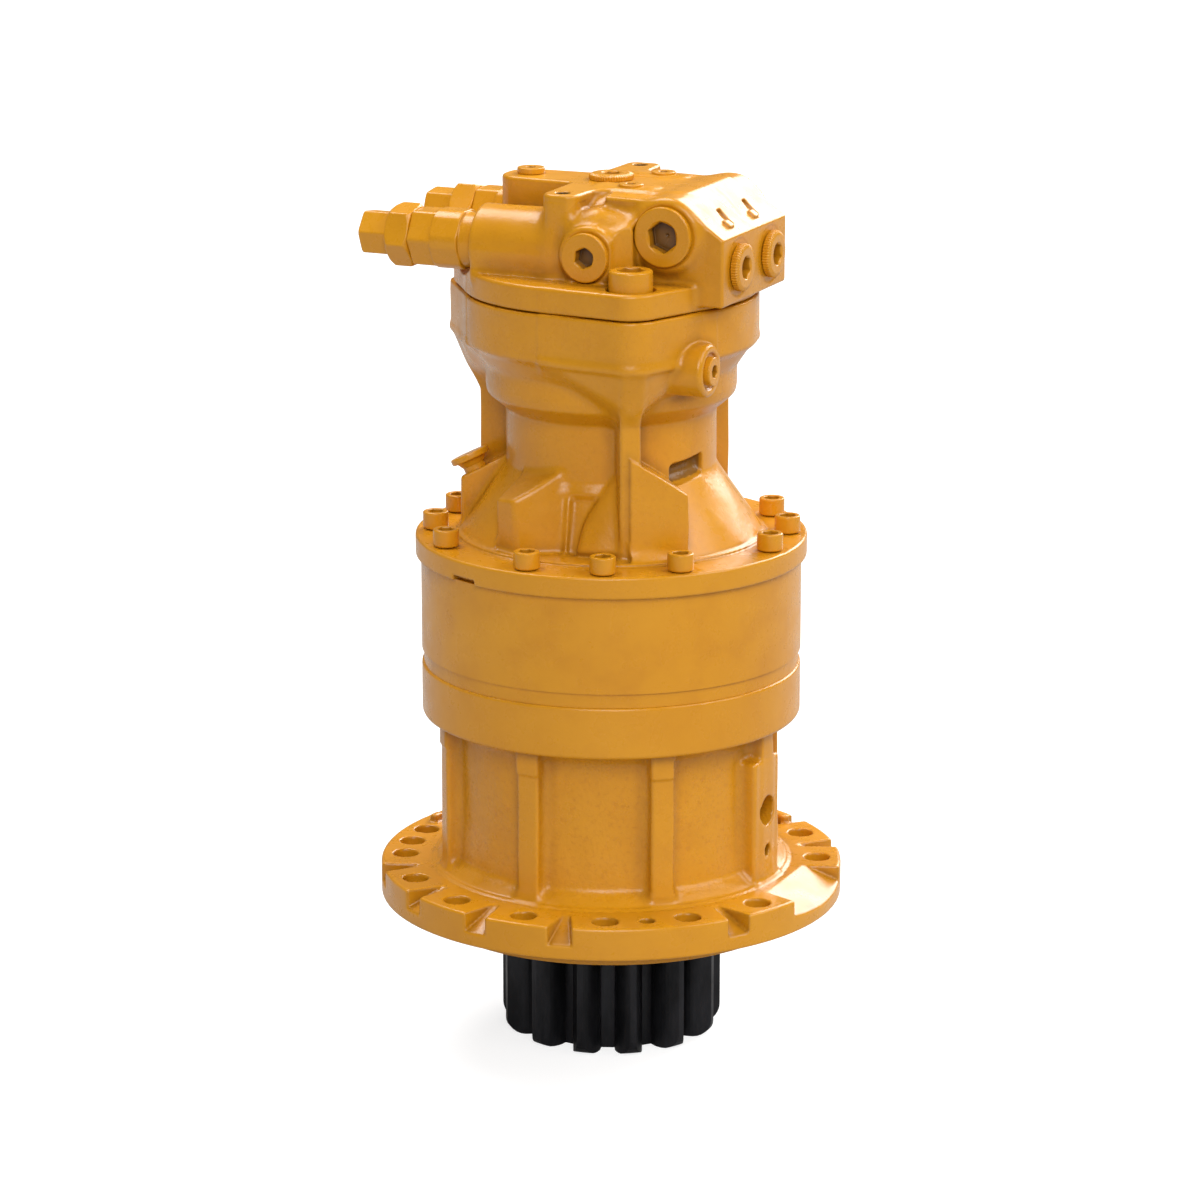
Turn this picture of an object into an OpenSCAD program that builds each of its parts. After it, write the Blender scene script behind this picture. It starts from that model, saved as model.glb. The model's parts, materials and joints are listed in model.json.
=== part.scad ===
// Swing drive of a crawler excavator: an axial piston motor with a parking brake on top of a
// two-stage planetary gearbox, with the output pinion below the mounting flange.
// Millimetres. +Z runs up the output axis towards the motor, +X points at the port block,
// and the origin is the centre of the mounting flange's underside.

/* [Mounting flange] */
// How far the mounting flange stands out beyond the ribs
flange_reach = 41; // [39:0.5:45]
// Thickness of the mounting flange
flange_t = 23.5; // [22:0.5:26]
// From the flange's rim to the centres of its holes
flange_edge = 17; // [16:0.5:18]
// Diameter of each hole in the flange
flange_hole_d = 17.5; // [16.5:0.5:18.5]
// Diameter of the pilot under the flange
pilot_d = 268; // [264:1:270]
// Height of the pilot
pilot_h = 13.5; // [12.5:0.5:15]

/* [Gearbox housing] */
// Height from the flange's underside to the housing's top joint
housing_h = 170.5; // [168:0.5:175]
// Outside diameter over the ribs
rib_d = 246; // [244:1:250]
// Outside diameter of the wall between the ribs
wall_d = 226; // [222:1:232]
// Width of a rib
rib_w = 16; // [12:1:20]
// Height of the band at the top of the housing
band_h = 36.5; // [34:0.5:39]
// Outside diameter of the band and of the ring gear
drum_d = 267; // [265:1:270]

/* [Ring gear and planet stages] */
// Height of the ring gear
ring_h = 77.2; // [76.8:0.2:78]
// Gear module of both planet stages
gear_m = 3; // [3:0.5:3]
// Teeth of the ring gear
ring_z = 72; // [72:1:72]
// Teeth of the second-stage sun
sun2_z = 24; // [24:1:24]
// Teeth of the first-stage sun
sun1_z = 18; // [18:1:18]
// Face width of the second-stage planets
planet2_w = 29.6; // [28:0.2:29.8]
// Face width of the first-stage planets
planet1_w = 15.6; // [14:0.2:15.8]

/* [Output pinion] */
// Gear module of the pinion
pinion_m = 10; // [10:1:10]
// Teeth of the pinion
pinion_z = 13; // [13:1:13]
// Outside diameter of the pinion
pinion_d = 157.4; // [156:0.2:158]
// Face width of the pinion
pinion_w = 86; // [80:1:95]

/* [Motor casing] */
// Height from the ring gear to the cover joint
casing_h = 186.3; // [186:0.1:190]
// Outside diameter of the casing's round flange
casing_flange_d = 274.6; // [272:0.2:278]
// Thickness of the casing's round flange
casing_flange_t = 15.3; // [14.5:0.1:16]
// Outside diameter of the top band of the casing
barrel_d = 204; // [202:1:208]
// Outside diameter of the step below the top band
step_d = 175; // [173:1:180]
// Outside diameter of the neck
neck_d = 144; // [142:1:150]
// Circle radius of the flange screws
flange_screw_r = 123.4; // [123:0.1:124]

/* [Valve cover] */
// Height of the cover from its joint to the flat top
cover_h = 77; // [75:1:82]
// Thickness of the cover's flange
cover_flange_t = 18.5; // [17:0.5:20]
// Circle radius of the three cover screws
cover_screw_r = 99; // [98:0.5:100]
// Radius of a bolt lobe
lobe_r = 22.5; // [21:0.5:24]
// How far the port face stands out beyond the barrel
port_reach = 5; // [4:0.5:7]
// Width of the port block
port_block_w = 113; // [110:1:118]
// Distance of each relief valve from the middle plane
relief_y = 50; // [49:0.5:52]
// Diameter of a relief valve body
relief_d = 42.5; // [40:0.5:44]

/* [Motor internals] */
// Number of pistons
piston_count = 9; // [9:1:9]
// Circle radius of the pistons
piston_circle_r = 36; // [35.5:0.5:36.5]
// Diameter of a piston
piston_d = 20; // [19:0.5:20]
// Tilt of the swash plate in degrees
swash_tilt = 14; // [12:0.5:14]
// Travel of the brake piston when it lets go
brake_travel = 2; // [1:0.5:2.5]
// Travel of a make-up check valve when it opens
check_travel = 4; // [2:0.5:5]

/* [Hidden] */

// Colours
paint = "#dd9c35";
black_iron = "#2b2a2c";
steel = "#a9adb2";
dark_steel = "#6f747a";
bronze = "#b8894a";
black_rubber = "#1d1d1f";

// Roundness and shared allowances
round_fn = 96;
small_fn = 40;
hull_fn = 32;
coil_rings = 9;
coil_sides = 5;
over = 1;
fit_gap = 0.05;
seat_gap = 0.05;
face_gap = 0.2;
race_gap = 0.15;

// Heights of the main joints
housing_top = housing_h;
band_bottom = housing_h - band_h;
ring_top = housing_top + ring_h;
casing_flange_top = ring_top + casing_flange_t;
joint_z = ring_top + casing_h;
ledge_z = joint_z + cover_flange_t;
top_z = joint_z + cover_h;

// Radii of the main bodies
flange_d = rib_d + 2 * flange_reach;
flange_pcd = flange_d - 2 * flange_edge;
flange_r = flange_d / 2;
pilot_r = pilot_d / 2;
rib_r = rib_d / 2;
wall_r = wall_d / 2;
drum_r = drum_d / 2;
casing_flange_r = casing_flange_d / 2;
barrel_r = barrel_d / 2;
port_face_x = barrel_r + port_reach;
step_r = step_d / 2;
neck_r = neck_d / 2;

// Mounting flange: sixteen places, one of them taken by the wide ramp
flange_places = 16;
flange_step = 360 / flange_places;
extra_hole_a = 191.25;
jack_hole_a = 303.75;
jack_hole_r = 5.1;
notch_inner_r = 136;
notch_depth = 13.5;
notch_w_in = 4;
notch_w_out = 19;
ramp_half_a = 14;
notch_places = [213.75, 236.25, 258.75, 281.25, 326.25, 33.75, 56.25, 78.75, 101.25, 123.75, 146.25];
flange_step_r = 127;
flange_step_h = 1.5;
sill_r = 125;
sill_h = 11;

// Ribs and the two open ports in the boss on one rib
rib_count = 8;
rib_phase = -4;
rib_proud = 1.5;
rib_proud_z = 115;
port_boss_w = 42;
port_boss_h = 90;
grease_port_r = 10.4;
grease_port_z = 75;
level_port_r = 4.3;
level_port_z = 46;
grease_port_l = 30;
level_port_l = 20;

// Screws that clamp casing, ring gear and housing: four groups of three
screw_groups = 4;
screw_group_a = 21.4;
screw_spread = 25;
screw_r = 6;
screw_head_r = 9;
screw_head_h = 12;
screw_socket_af = 10;
screw_socket_h = 6;
screw_hole_r = screw_r + 0.1 * screw_r;
screw_bite = 27;
screw_angles = [for (g = [0:screw_groups - 1]) for (s = [-1:1])
    screw_group_a + 360 / screw_groups * g + screw_spread * s];

// Output shaft and its bearings
shaft_gap = 2.5;
seal_cover_t = 10;
seal_cover_r = 112;
seal_cover_bore_r = 58;
seal_r = 70;
seal_w = 7.5;
seal_screw_r = 4;
seal_screw_circle_r = 101;
seal_screw_count = 8;
seal_screw_l = 18;
low_bearing_w = 46;
low_bearing_r = 90;
low_bore_r = 50;
up_bearing_w = 38.5;
up_bearing_r = 75;
up_bore_r = 42.5;
roller_pitch_low = 70;
roller_r_low = 8.5;
roller_pitch_up = 58;
roller_r_up = 7;
roller_count = 20;
roller_end = 4;
carrier_room_h = 34;
carrier_room_r = 102.5;
shoulder_t = 5;
gear_room_r = 97;
low_z = -pilot_h + seal_cover_t;
up_z = housing_top - carrier_room_h - up_bearing_w;
mid_shaft_r = 46;
nut_h = 11;
nut_r = 56;
nut_slot_w = 8;
nut_slots = 4;
nut_thread_r = 40;
shaft_spline_r = 36;
shaft_spline_in_r = 33;
shaft_spline_z = 24;
pinion_top = -pilot_h - shaft_gap;
pinion_phase = 1.1;
pinion_shift = 0.4;
pinion_round = 11;
pinion_root_shares = 1.25;
corner_steps = 6;

// Planet stages
tooth_thin = 0.15;
sun_teeth_add = 1;
planet_count = 3;
planet2_z = (ring_z - sun2_z) / 2;
planet1_z = (ring_z - sun1_z) / 2;
centre2 = gear_m * (sun2_z + planet2_z) / 2;
centre1 = gear_m * (sun1_z + planet1_z) / 2;
planet_a0_2 = 90;
planet_a0_1 = 30;
ring_lip_h = 10;
ring_lip_in = 1.5;
ring_relief_r = 112.5;
ring_teeth_z = housing_top + ring_lip_h;
ring_teeth_top = ring_top - 1.2 * ring_lip_in;
pin2_r = 14;
pin2_head_r = 17;
pin2_head_h = 2.5;
bush_t = 4;
pin1_r = 10;
pin1_head_r = 13;
pin1_head_h = 1.5;
washer_t = 1.7;
washer2_r = 26;
washer1_r = 18;
carrier2_z = up_z + up_bearing_w + nut_h + face_gap;
carrier2_top = ring_teeth_z - 2.5;
carrier2_r = carrier_room_r - 1.5;
washer_seat2 = carrier2_top;
planet2_z0 = carrier2_top + washer_t + face_gap;
pin2_top = planet2_z0 + planet2_w + face_gap + washer_t;
sun2_z0 = planet2_z0 + face_gap;
sun2_neck_r = 24;
sun2_in_r = 14;
carrier1_t = 12;
carrier1_z = pin2_top + pin2_head_h + 2 * face_gap;
carrier1_top = carrier1_z + carrier1_t;
carrier1_r = 98;
carrier1_spline_r = 26;
carrier1_spline_in_r = 23.5;
sun2_spline_z = 22;
planet1_z0 = carrier1_top + washer_t + face_gap;
pin1_top = planet1_z0 + planet1_w + face_gap + washer_t;
sun1_z0 = carrier1_top + washer_t;
sun1_teeth_w = planet1_w + 2;
sun1_hub_r = 24;
sun1_hub_h = 7;
sun1_top = sun1_z0 + sun1_teeth_w + sun1_hub_h;

// Drive shaft: radii from the gearbox end upwards
shaft_low_r = 14.5;
shaft_low_in_r = 13;
shaft_low_z = 16;
shaft_seal_r = 17;
front_bore_r = 17.5;
shaft_collar_r = 22;
shaft_body_r = 19.5;
shaft_body_in_r = 17.8;
shaft_body_z = 20;
shaft_top_r = 15;
rear_bore_r = 10;

// Room inside the motor casing, from the bottom up
hub_room_r = 38;
pin_room_r = 104;
pin_room_h = 3.5;
hub_room_z = sun1_top + 1.5;
shaft_seal_or = 30;
shaft_seal_w = 8;
seal_top_z = hub_room_z + shaft_seal_w;
web_t = 3;
front_z = seal_top_z + web_t;
front_bearing_w = 21;
front_bearing_r = 40;
rear_bearing_w = 14;
rear_bearing_r = 23.5;
front_top_z = front_z + front_bearing_w;
swash_seat_z = front_top_z + 5;
swash_r = 60;
swash_bore_r = 26;
swash_mid_t = 21;
swash_mid_z = swash_seat_z + swash_mid_t;
chamber_r = 62;
front_ball_pitch = 29;
front_ball_r = 6.2;
front_ball_count = 9;
rear_ball_pitch = 16.7;
rear_ball_r = 3.6;
rear_ball_count = 9;
race_t_share = 0.27;

// Rotating group
valve_plate_t = 6;
valve_plate_r = 56;
valve_plate_bore_r = 25;
block_r = 60;
block_top = joint_z - valve_plate_t - face_gap;
block_h = 82;
block_z = block_top - block_h;
block_bore_depth = 66;
kidney_r = 5.5;
piston_r = piston_d / 2;
piston_l = 58;
piston_ball_r = 6.5;
piston_neck_r = 4.5;
piston_neck_l = 10;
slipper_r = 8.6;
slipper_pad_t = 3.5;
slipper_neck_r = 7.6;
slipper_h = 11;
ball_up = 6.5;
retainer_t = 3;
retainer_r = 49;
retainer_hole_r = 8;
retainer_bore_r = 24.5;
retainer_ball_r = 24;
retainer_ball_cut = 11;
block_slot_count = 12;
block_slot_w = 9;
block_slot_depth = 2.6;
spline_end = 12;

// Brake
separator_t = 3;
friction_t = 2.5;
separator_count = 5;
pack_gap = 0.1;
pack_h = separator_count * separator_t + (separator_count - 1) * (friction_t + 2 * pack_gap);
pack_top = joint_z - 47.8;
pack_z = pack_top - pack_h;
separator_out_r = 71.4;
separator_in_r = 61.5;
separator_lug_r = 75.4;
separator_lugs = 8;
separator_lug_w = 12;
pack_bore_r = 71.8;
pack_slot_r = 75.8;
piston_low_r = 76;
brake_piston_in_r = 64;
brake_piston_r = 83;
brake_piston_h = 38;
brake_piston_step = 14;
brake_room_step = 11;
brake_z = pack_top + seat_gap;
spring_count = 8;
spring_circle_r = 73.5;
spring_r = 4.8;
spring_wire_r = 1;
spring_turns = 4;
spring_pocket_r = 6.6;
spring_cup = 8;
spring_pocket_up = 10;
spring_foot = 0.1;

// Casing outside
skirt_r = 112;
skirt_lip = 3;
barrel_bottom = joint_z - 34;
step_top = joint_z - 51;
step_bottom = joint_z - 70;
neck_top = joint_z - 78;
neck_bottom = casing_flange_top + 53;
web_w = 14;
web_r = 98.8;
web_top = joint_z - 65;
gusset_top = casing_flange_top + 74;
gusset_low = casing_flange_top + 36;
gusset_r = 106;
gusset_in_r = 97;
gusset_a0 = 2.5;
gusset_a1 = 24;
hump_w = 32;
hump_r = 104;
hump_h = 50;
hump_angles = [-107, -69];
brake_port_y = -55;
brake_port_z = joint_z - 39;
brake_port_x = barrel_r - 4;
brake_boss_r = 19.5;
brake_plug_r = 9.8;
brake_plug_seat_r = 13;
brake_plug_sink = 3;
brake_plug_proud = 3;
brake_thread_r = 6.5;
brake_thread_l = 14;
brake_pass_r = 3;
brake_pass_l = 45;
filler_a = 16.4;
filler_lean_a = 6;
filler_r = 96;
filler_z = casing_flange_top + 40.8;
filler_lean = 26;
filler_cap_r = 14;
filler_cap_t = 3.5;
filler_stem_r = 8;
filler_stem_l = 16;
filler_stand = 7;
flange_notch_a = -113.5;
flange_notch_w = 22;
flange_notch_h = 5;
flange_notch_in = 6;

// Cover outside
lobe_angles = [-58.4, 60, 180];
lobe_blend_r = 60;
plateau_y = 37;
plateau_x0 = -22;
plateau_x1 = 72;
ear_x0 = -19;
ear_x1 = 6;
ear_y = 76;
ear_round = 8;
ear_hole_x = -7;
ear_hole_y = 65;
ear_hole_r = 5.1;
ear_hole_l = 22;
nose_x = 61;
nose_r = 19;
relief_z = top_z - 40;
relief_boss_r = 25;
relief_boss_x = -74;
relief_boss_in = -22;
slope_low_z = top_z - 26.5;
slope_top_x = 72;
slope_top_z = top_z - 3;
block_under_z = joint_z + 4.4;
block_in_x = 20;
ridge_w = 5;
ridge_l = 66;
ridge_h = 3;
side_plug_x = 66;
side_plug_z = top_z - 25.5;
side_plug_y = 61;
side_boss_r = 26;
side_plug_r = 20.4;
side_plug_t = 4.5;
side_plug_thread_r = 16;
side_plug_l = 14;
side_plug_af = 19;
small_plug_x = 18;
small_plug_z = top_z - 39.7;
small_plug_y = 82;
small_boss_r = 22;
small_plug_r = 16.8;
small_plug_t = 4.5;
small_plug_thread_r = 11;
small_plug_l = 14;
small_plug_af = 12;
port_y = 28;
port_z = joint_z + 28.4;
port_plug_r = 16.4;
port_plug_t = 5.6;
port_plug_thread_r = 12;
port_plug_l = 14;
port_plug_af = 14;
port_bore_r = 9;
port_bore_end_x = 30;
knurl_count = 48;
knurl_depth = 0.5;
socket_depth = 9;
head_share = 0.15;
kidney_circle_x = 28;
kidney_bore_r = 8;
centre_plug_r = 15.6;
centre_plug_t = 4.6;
centre_plug_thread_r = 11;
centre_plug_l = 12;
centre_plug_af = 12;
top_plug_r = 9.6;
top_plug_t = 4.4;
top_plug_thread_r = 6;
top_plug_l = 10;
top_plug_af = 6;
top_pair_x = 27;
top_pair_y = 28;
top_pair_r = 8.6;
cover_screw_rad = 10;
cover_head_r = 15;
cover_head_h = 20;
cover_socket_af = 17;
cover_socket_h = 10;
cover_seat_z = joint_z + 12;
cover_sink_r = 16.5;
cover_screw_bite = 30;

// Make-up check valves behind the large side plugs
check_r = 13;
check_bore_r = 13.1;
check_seat_y = 24;
check_l = 13;
check_nose_r = 9;
check_spring_r = 9;
check_spring_wire = 1.1;
check_spring_turns = 4;

// Relief valves: distances from the boss face outwards
relief_neck_l = 10.4;
relief_neck_r = 18.5;
relief_body_l = 38.5;
relief_nut_l = 17.8;
relief_nut_af = 37;
relief_cap_l = 21.9;
relief_cap_af = 29;
relief_thread_r = 15;
relief_thread_l = 44;
relief_flat_l = 17;
relief_stem_r = 11;
hex_chamfer_share = 0.94;

// O-rings in the casing joints
cord_r = 1.35;
cord_sit = 1.2;
ring_cord_r = 114.7;
cover_cord_r = 86.1;

// Gear outlines
function inv_deg(a) = tan(a) * 180 / PI - a;
function half_angle(r, rp, rb, half) =
    (half / rp) * 180 / PI + inv_deg(acos(rb / rp)) - inv_deg(acos(min(1, rb / r)));
function polar(r, a) = [r * cos(a), r * sin(a)];
function tooth(c, rr, rt, rp, rb, half, steps) =
    let (rf = max(rr, rb), radii = [for (i = [0:steps]) rf + (rt - rf) * i / steps])
    concat(
        rr < rf ? [polar(rr, c - half_angle(rf, rp, rb, half))] : [],
        [for (r = radii) polar(r, c - half_angle(r, rp, rb, half))],
        [for (i = [steps:-1:0]) polar(radii[i], c + half_angle(radii[i], rp, rb, half))],
        rr < rf ? [polar(rr, c + half_angle(rf, rp, rb, half))] : []);
function gear_outline(z, m, rr, rt, half, phase, steps = 4) =
    let (rp = m * z / 2, rb = rp * cos(20))
    [for (k = [0:z - 1]) each tooth(phase + 360 / z * k, rr, rt, rp, rb, half, steps)];
function outer_gear(z, phase) = gear_outline(z, gear_m, gear_m * (z / 2 - 1.25),
    gear_m * (z / 2 + 1), PI * gear_m / 4 - tooth_thin, phase);
function spline_outline(z, ro, ri) = [for (k = [0:z - 1]) for (p = [0:3])
    polar(p == 0 || p == 3 ? ri : ro, 360 / z * (k + (p - 1.5) * (p == 0 || p == 3 ? 0.19 : 0.26)))];

// Places of the planets
function planet_at(stage, i) = (stage == 2 ? planet_a0_2 : planet_a0_1) + 360 / planet_count * i;

// Swash plane and piston places
function swash_z(x) = swash_mid_z + x * tan(swash_tilt);
function piston_a(i) = 360 / piston_count * i;
function ball_z(i) = swash_z(piston_circle_r * cos(piston_a(i))) + ball_up / cos(swash_tilt);
function slipper_at(i) = [piston_circle_r * cos(piston_a(i)) / cos(swash_tilt) + ball_up * tan(swash_tilt),
    piston_circle_r * sin(piston_a(i)), 0];

// Points and faces of a tube wound along a coil, closed at both ends
function coil_points(r, wire, turns, height, rings, sides, lead) =
    [for (i = [0:rings]) for (k = [0:sides - 1])
        let (a = 360 * turns * i / rings, rr = r + wire * cos(360 / sides * k))
        [rr * cos(a), rr * sin(a), lead + wire + (height - 2 * wire) * i / rings
            + wire * sin(360 / sides * k)]];
function coil_faces(rings, sides) = concat(
    [for (i = [0:rings - 1]) for (k = [0:sides - 1]) let (n = (k + 1) % sides)
        each [[i * sides + k, i * sides + n, (i + 1) * sides + n],
              [i * sides + k, (i + 1) * sides + n, (i + 1) * sides + k]]],
    [[for (k = [sides - 1:-1:0]) k]], [[for (k = [0:sides - 1]) rings * sides + k]]);

module coil(r, wire, turns, height) {
    rings = coil_rings * turns;
    polyhedron(coil_points(r, wire, turns, height, rings, coil_sides, 0), coil_faces(rings, coil_sides));
}

module ring(ro, ri, h, z = 0) {
    translate([0, 0, z]) difference() {
        cylinder(r = ro, h = h, $fn = round_fn);
        translate([0, 0, -over]) cylinder(r = ri, h = h + 2 * over, $fn = round_fn);
    }
}

// Groove for an o-ring, cut into the face at height z upwards or downwards
module cord_groove(r, z, up) {
    rotate_extrude($fn = round_fn) polygon([
        [r - cord_r, z - up * over], [r + cord_r, z - up * over],
        [r + cord_r, z + up * 2 * cord_sit], [r - cord_r, z + up * 2 * cord_sit]]);
}

module disc(r, h, z = 0) {
    translate([0, 0, z]) cylinder(r = r, h = h, $fn = round_fn);
}

module around(count, a0 = 0) {
    for (i = [0:count - 1]) rotate([0, 0, a0 + 360 / count * i]) children();
}

// A hexagon prism by its width across flats, standing on z = 0
module hex_prism(af, h) {
    cylinder(r = af / 2 / cos(30), h = h, $fn = 6);
}

// A hexagon with its corners turned off at both ends
module turned_hex(af, h) {
    r = af / 2 / cos(30);
    cut = r * (1 - hex_chamfer_share);
    intersection() {
        hex_prism(af, h);
        rotate_extrude($fn = round_fn) polygon([
            [0, 0], [r - cut, 0], [r + cut, cut], [r + cut, h - cut], [r - cut, h], [0, h]]);
    }
}

// A socket head screw, head down to z = 0 and shank below it
module socket_screw(r, head_r, head_h, l, af, deep) {
    difference() {
        union() {
            cylinder(r = head_r, h = head_h, $fn = small_fn);
            translate([0, 0, -l]) cylinder(r = r, h = l + over, $fn = small_fn);
        }
        translate([0, 0, head_h - deep]) hex_prism(af, deep + over);
    }
}

// A screwed plug with its head above z = 0, its thread below and a hexagon socket
module socket_plug(head_r, head_t, thread_r, l, af) {
    edge = 0.2 * head_t;
    difference() {
        union() {
            cylinder(r = head_r, h = head_t - edge, $fn = round_fn);
            translate([0, 0, head_t - edge])
                cylinder(r1 = head_r, r2 = head_r - edge, h = edge, $fn = round_fn);
            translate([0, 0, -l]) cylinder(r = thread_r, h = l + edge, $fn = round_fn);
        }
        translate([0, 0, head_t - socket_depth_of(l)]) hex_prism(af, socket_depth_of(l) + over);
    }
}
function socket_depth_of(l) = min(socket_depth, l / 2 + head_share * l);

// The same plug with a knurled rim
module knurled_plug(head_r, head_t, thread_r, l, af) {
    difference() {
        socket_plug(head_r, head_t, thread_r, l, af);
        around(knurl_count) translate([head_r + knurl_depth / 2, 0, -over])
            rotate([0, 0, 45]) translate([-knurl_depth, -knurl_depth, 0])
            cube([2 * knurl_depth, 2 * knurl_depth, head_t - 0.25 * head_t + over]);
    }
}

// A horizontal child: its +Z is turned to point along +X, or along -Y or +Y
module along_x() { rotate([0, 90, 0]) children(); }
module along_y(s) { rotate([-90 * s, 0, 0]) children(); }

// Outline of the casing's top and the cover's flange: a disc with three blended lobes
module lobed_disc(r, h) {
    linear_extrude(height = h) union() {
        circle(r = r, $fn = round_fn);
        for (a = lobe_angles) rotate(a) {
            translate([cover_screw_r, 0]) circle(r = lobe_r, $fn = round_fn);
            polygon([
                [lobe_blend_r, r * sin(38)], [(r - over) * cos(25), (r - over) * sin(25)],
                [cover_screw_r + lobe_r * cos(60), lobe_r * sin(60)],
                [cover_screw_r + lobe_r * cos(60), -lobe_r * sin(60)],
                [(r - over) * cos(25), (over - r) * sin(25)], [lobe_blend_r, -r * sin(38)]]);
        }
    }
}

module gear_prism(z, w, z0, phase) {
    translate([0, 0, z0]) linear_extrude(height = w) polygon(outer_gear(z, phase));
}

// Wedge-shaped notch that falls from the flange's top face to its rim
module rim_notch() {
    reach = flange_r + over;
    intersection() {
        rotate([90, 0, 0]) translate([0, 0, -notch_w_out])
            linear_extrude(height = 2 * notch_w_out) polygon([
                [notch_inner_r, flange_t], [notch_inner_r, flange_t + flange_step_h + over],
                [reach, flange_t + flange_step_h + over], [reach, flange_t - notch_depth]]);
        linear_extrude(height = flange_t + flange_step_h + over) polygon([
            [notch_inner_r, -notch_w_in / 2], [reach, -notch_w_out / 2],
            [reach, notch_w_out / 2], [notch_inner_r, notch_w_in / 2]]);
    }
}

module wide_ramp() {
    reach = flange_r + over;
    half = reach * sin(ramp_half_a);
    intersection() {
        rotate([90, 0, 0]) translate([0, 0, -half - over])
            linear_extrude(height = 2 * half + 2 * over) polygon([
                [notch_inner_r, flange_t], [notch_inner_r, flange_t + flange_step_h + over],
                [reach, flange_t + flange_step_h + over], [reach, flange_t - notch_depth]]);
        linear_extrude(height = flange_t + flange_step_h + over) polygon([
            [notch_inner_r * cos(ramp_half_a), -notch_inner_r * sin(ramp_half_a)],
            [reach, -half], [reach, half],
            [notch_inner_r * cos(ramp_half_a), notch_inner_r * sin(ramp_half_a)]]);
    }
}

module housing_outside() {
    rotate_extrude($fn = round_fn) polygon([
        [mid_shaft_r, -pilot_h], [pilot_r, -pilot_h], [pilot_r, 0], [flange_r, 0],
        [flange_r, flange_t], [flange_step_r, flange_t], [flange_step_r, flange_t + flange_step_h],
        [sill_r, flange_t + flange_step_h], [wall_r, flange_t + sill_h], [wall_r, band_bottom],
        [drum_r, band_bottom], [drum_r, housing_top], [mid_shaft_r, housing_top]]);
    around(rib_count, rib_phase) intersection() {
        translate([0, 0, flange_t]) cylinder(r = rib_r, h = band_bottom - flange_t + over, $fn = round_fn);
        translate([wall_r / 2, -rib_w / 2, flange_t]) cube([wall_r, rib_w, band_bottom - flange_t]);
    }
    rotate([0, 0, rib_phase]) translate([wall_r / 2, -port_boss_w / 2, flange_t])
        cube([rib_r - wall_r / 2, port_boss_w, port_boss_h]);
}

module gearbox_housing() {
    color(paint) difference() {
        housing_outside();
        disc(seal_cover_r + seat_gap, seal_cover_t + over, -pilot_h - over);
        disc(low_bearing_r + seat_gap, low_bearing_w + over, low_z - over);
        disc(low_bearing_r - shoulder_t, up_z - low_z - low_bearing_w - shoulder_t, low_z + low_bearing_w - over / 2);
        disc(gear_room_r, up_z - low_z - low_bearing_w - 3 * shoulder_t, low_z + low_bearing_w + 1.5 * shoulder_t);
        disc(up_bearing_r - shoulder_t, up_bearing_w, up_z - 2 * shoulder_t);
        disc(up_bearing_r + seat_gap, up_bearing_w + over, up_z);
        disc(carrier_room_r, carrier_room_h + over, up_z + up_bearing_w);
        for (k = [1:flange_places - 1]) rotate([0, 0, flange_step * k])
            translate([flange_pcd / 2, 0, -over])
            cylinder(r = flange_hole_d / 2, h = flange_t + 2 * over, $fn = small_fn);
        rotate([0, 0, extra_hole_a]) translate([flange_pcd / 2, 0, -over])
            cylinder(r = flange_hole_d / 2, h = flange_t + 2 * over, $fn = small_fn);
        rotate([0, 0, jack_hole_a]) translate([flange_pcd / 2, 0, -over])
            cylinder(r = jack_hole_r, h = flange_t + 2 * over, $fn = small_fn);
        for (a = notch_places) rotate([0, 0, a]) rim_notch();
        wide_ramp();
        for (a = screw_angles) rotate([0, 0, a]) translate([flange_screw_r, 0, housing_top - screw_bite - over])
            cylinder(r = screw_r + fit_gap, h = screw_bite + 2 * over, $fn = small_fn);
        rotate([0, 0, rib_phase]) translate([rib_r - grease_port_l, 0, grease_port_z]) along_x()
            cylinder(r = grease_port_r, h = grease_port_l + over, $fn = small_fn);
        rotate([0, 0, rib_phase]) translate([rib_r - level_port_l, 0, level_port_z]) along_x()
            cylinder(r = level_port_r, h = level_port_l + over, $fn = small_fn);
        around(seal_screw_count) translate([seal_screw_circle_r, 0, -pilot_h])
            cylinder(r = seal_screw_r + fit_gap, h = seal_screw_l + over, $fn = small_fn);
        cord_groove(ring_cord_r, housing_top, -1);
    }
}

module ring_gear() {
    color(paint) difference() {
        rotate_extrude($fn = round_fn) polygon([
            [ring_relief_r, housing_top], [drum_r - ring_lip_in, housing_top],
            [drum_r - ring_lip_in, ring_teeth_z], [drum_r, ring_teeth_z], [drum_r, ring_top],
            [ring_relief_r, ring_top], [ring_relief_r, ring_teeth_top],
            [gear_m * (ring_z / 2 - 3), ring_teeth_top], [gear_m * (ring_z / 2 - 3), ring_teeth_z],
            [ring_relief_r, ring_teeth_z]]);
        translate([0, 0, housing_top - over]) linear_extrude(height = ring_h + 2 * over)
            polygon(gear_outline(ring_z, gear_m, gear_m * (ring_z / 2 - 0.9),
                gear_m * (ring_z / 2 + 1.25), PI * gear_m / 4 + tooth_thin, 0, 3));
        for (a = screw_angles) rotate([0, 0, a]) translate([flange_screw_r, 0, housing_top - over])
            cylinder(r = screw_hole_r, h = ring_h + 2 * over, $fn = small_fn);
    }
}

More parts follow.
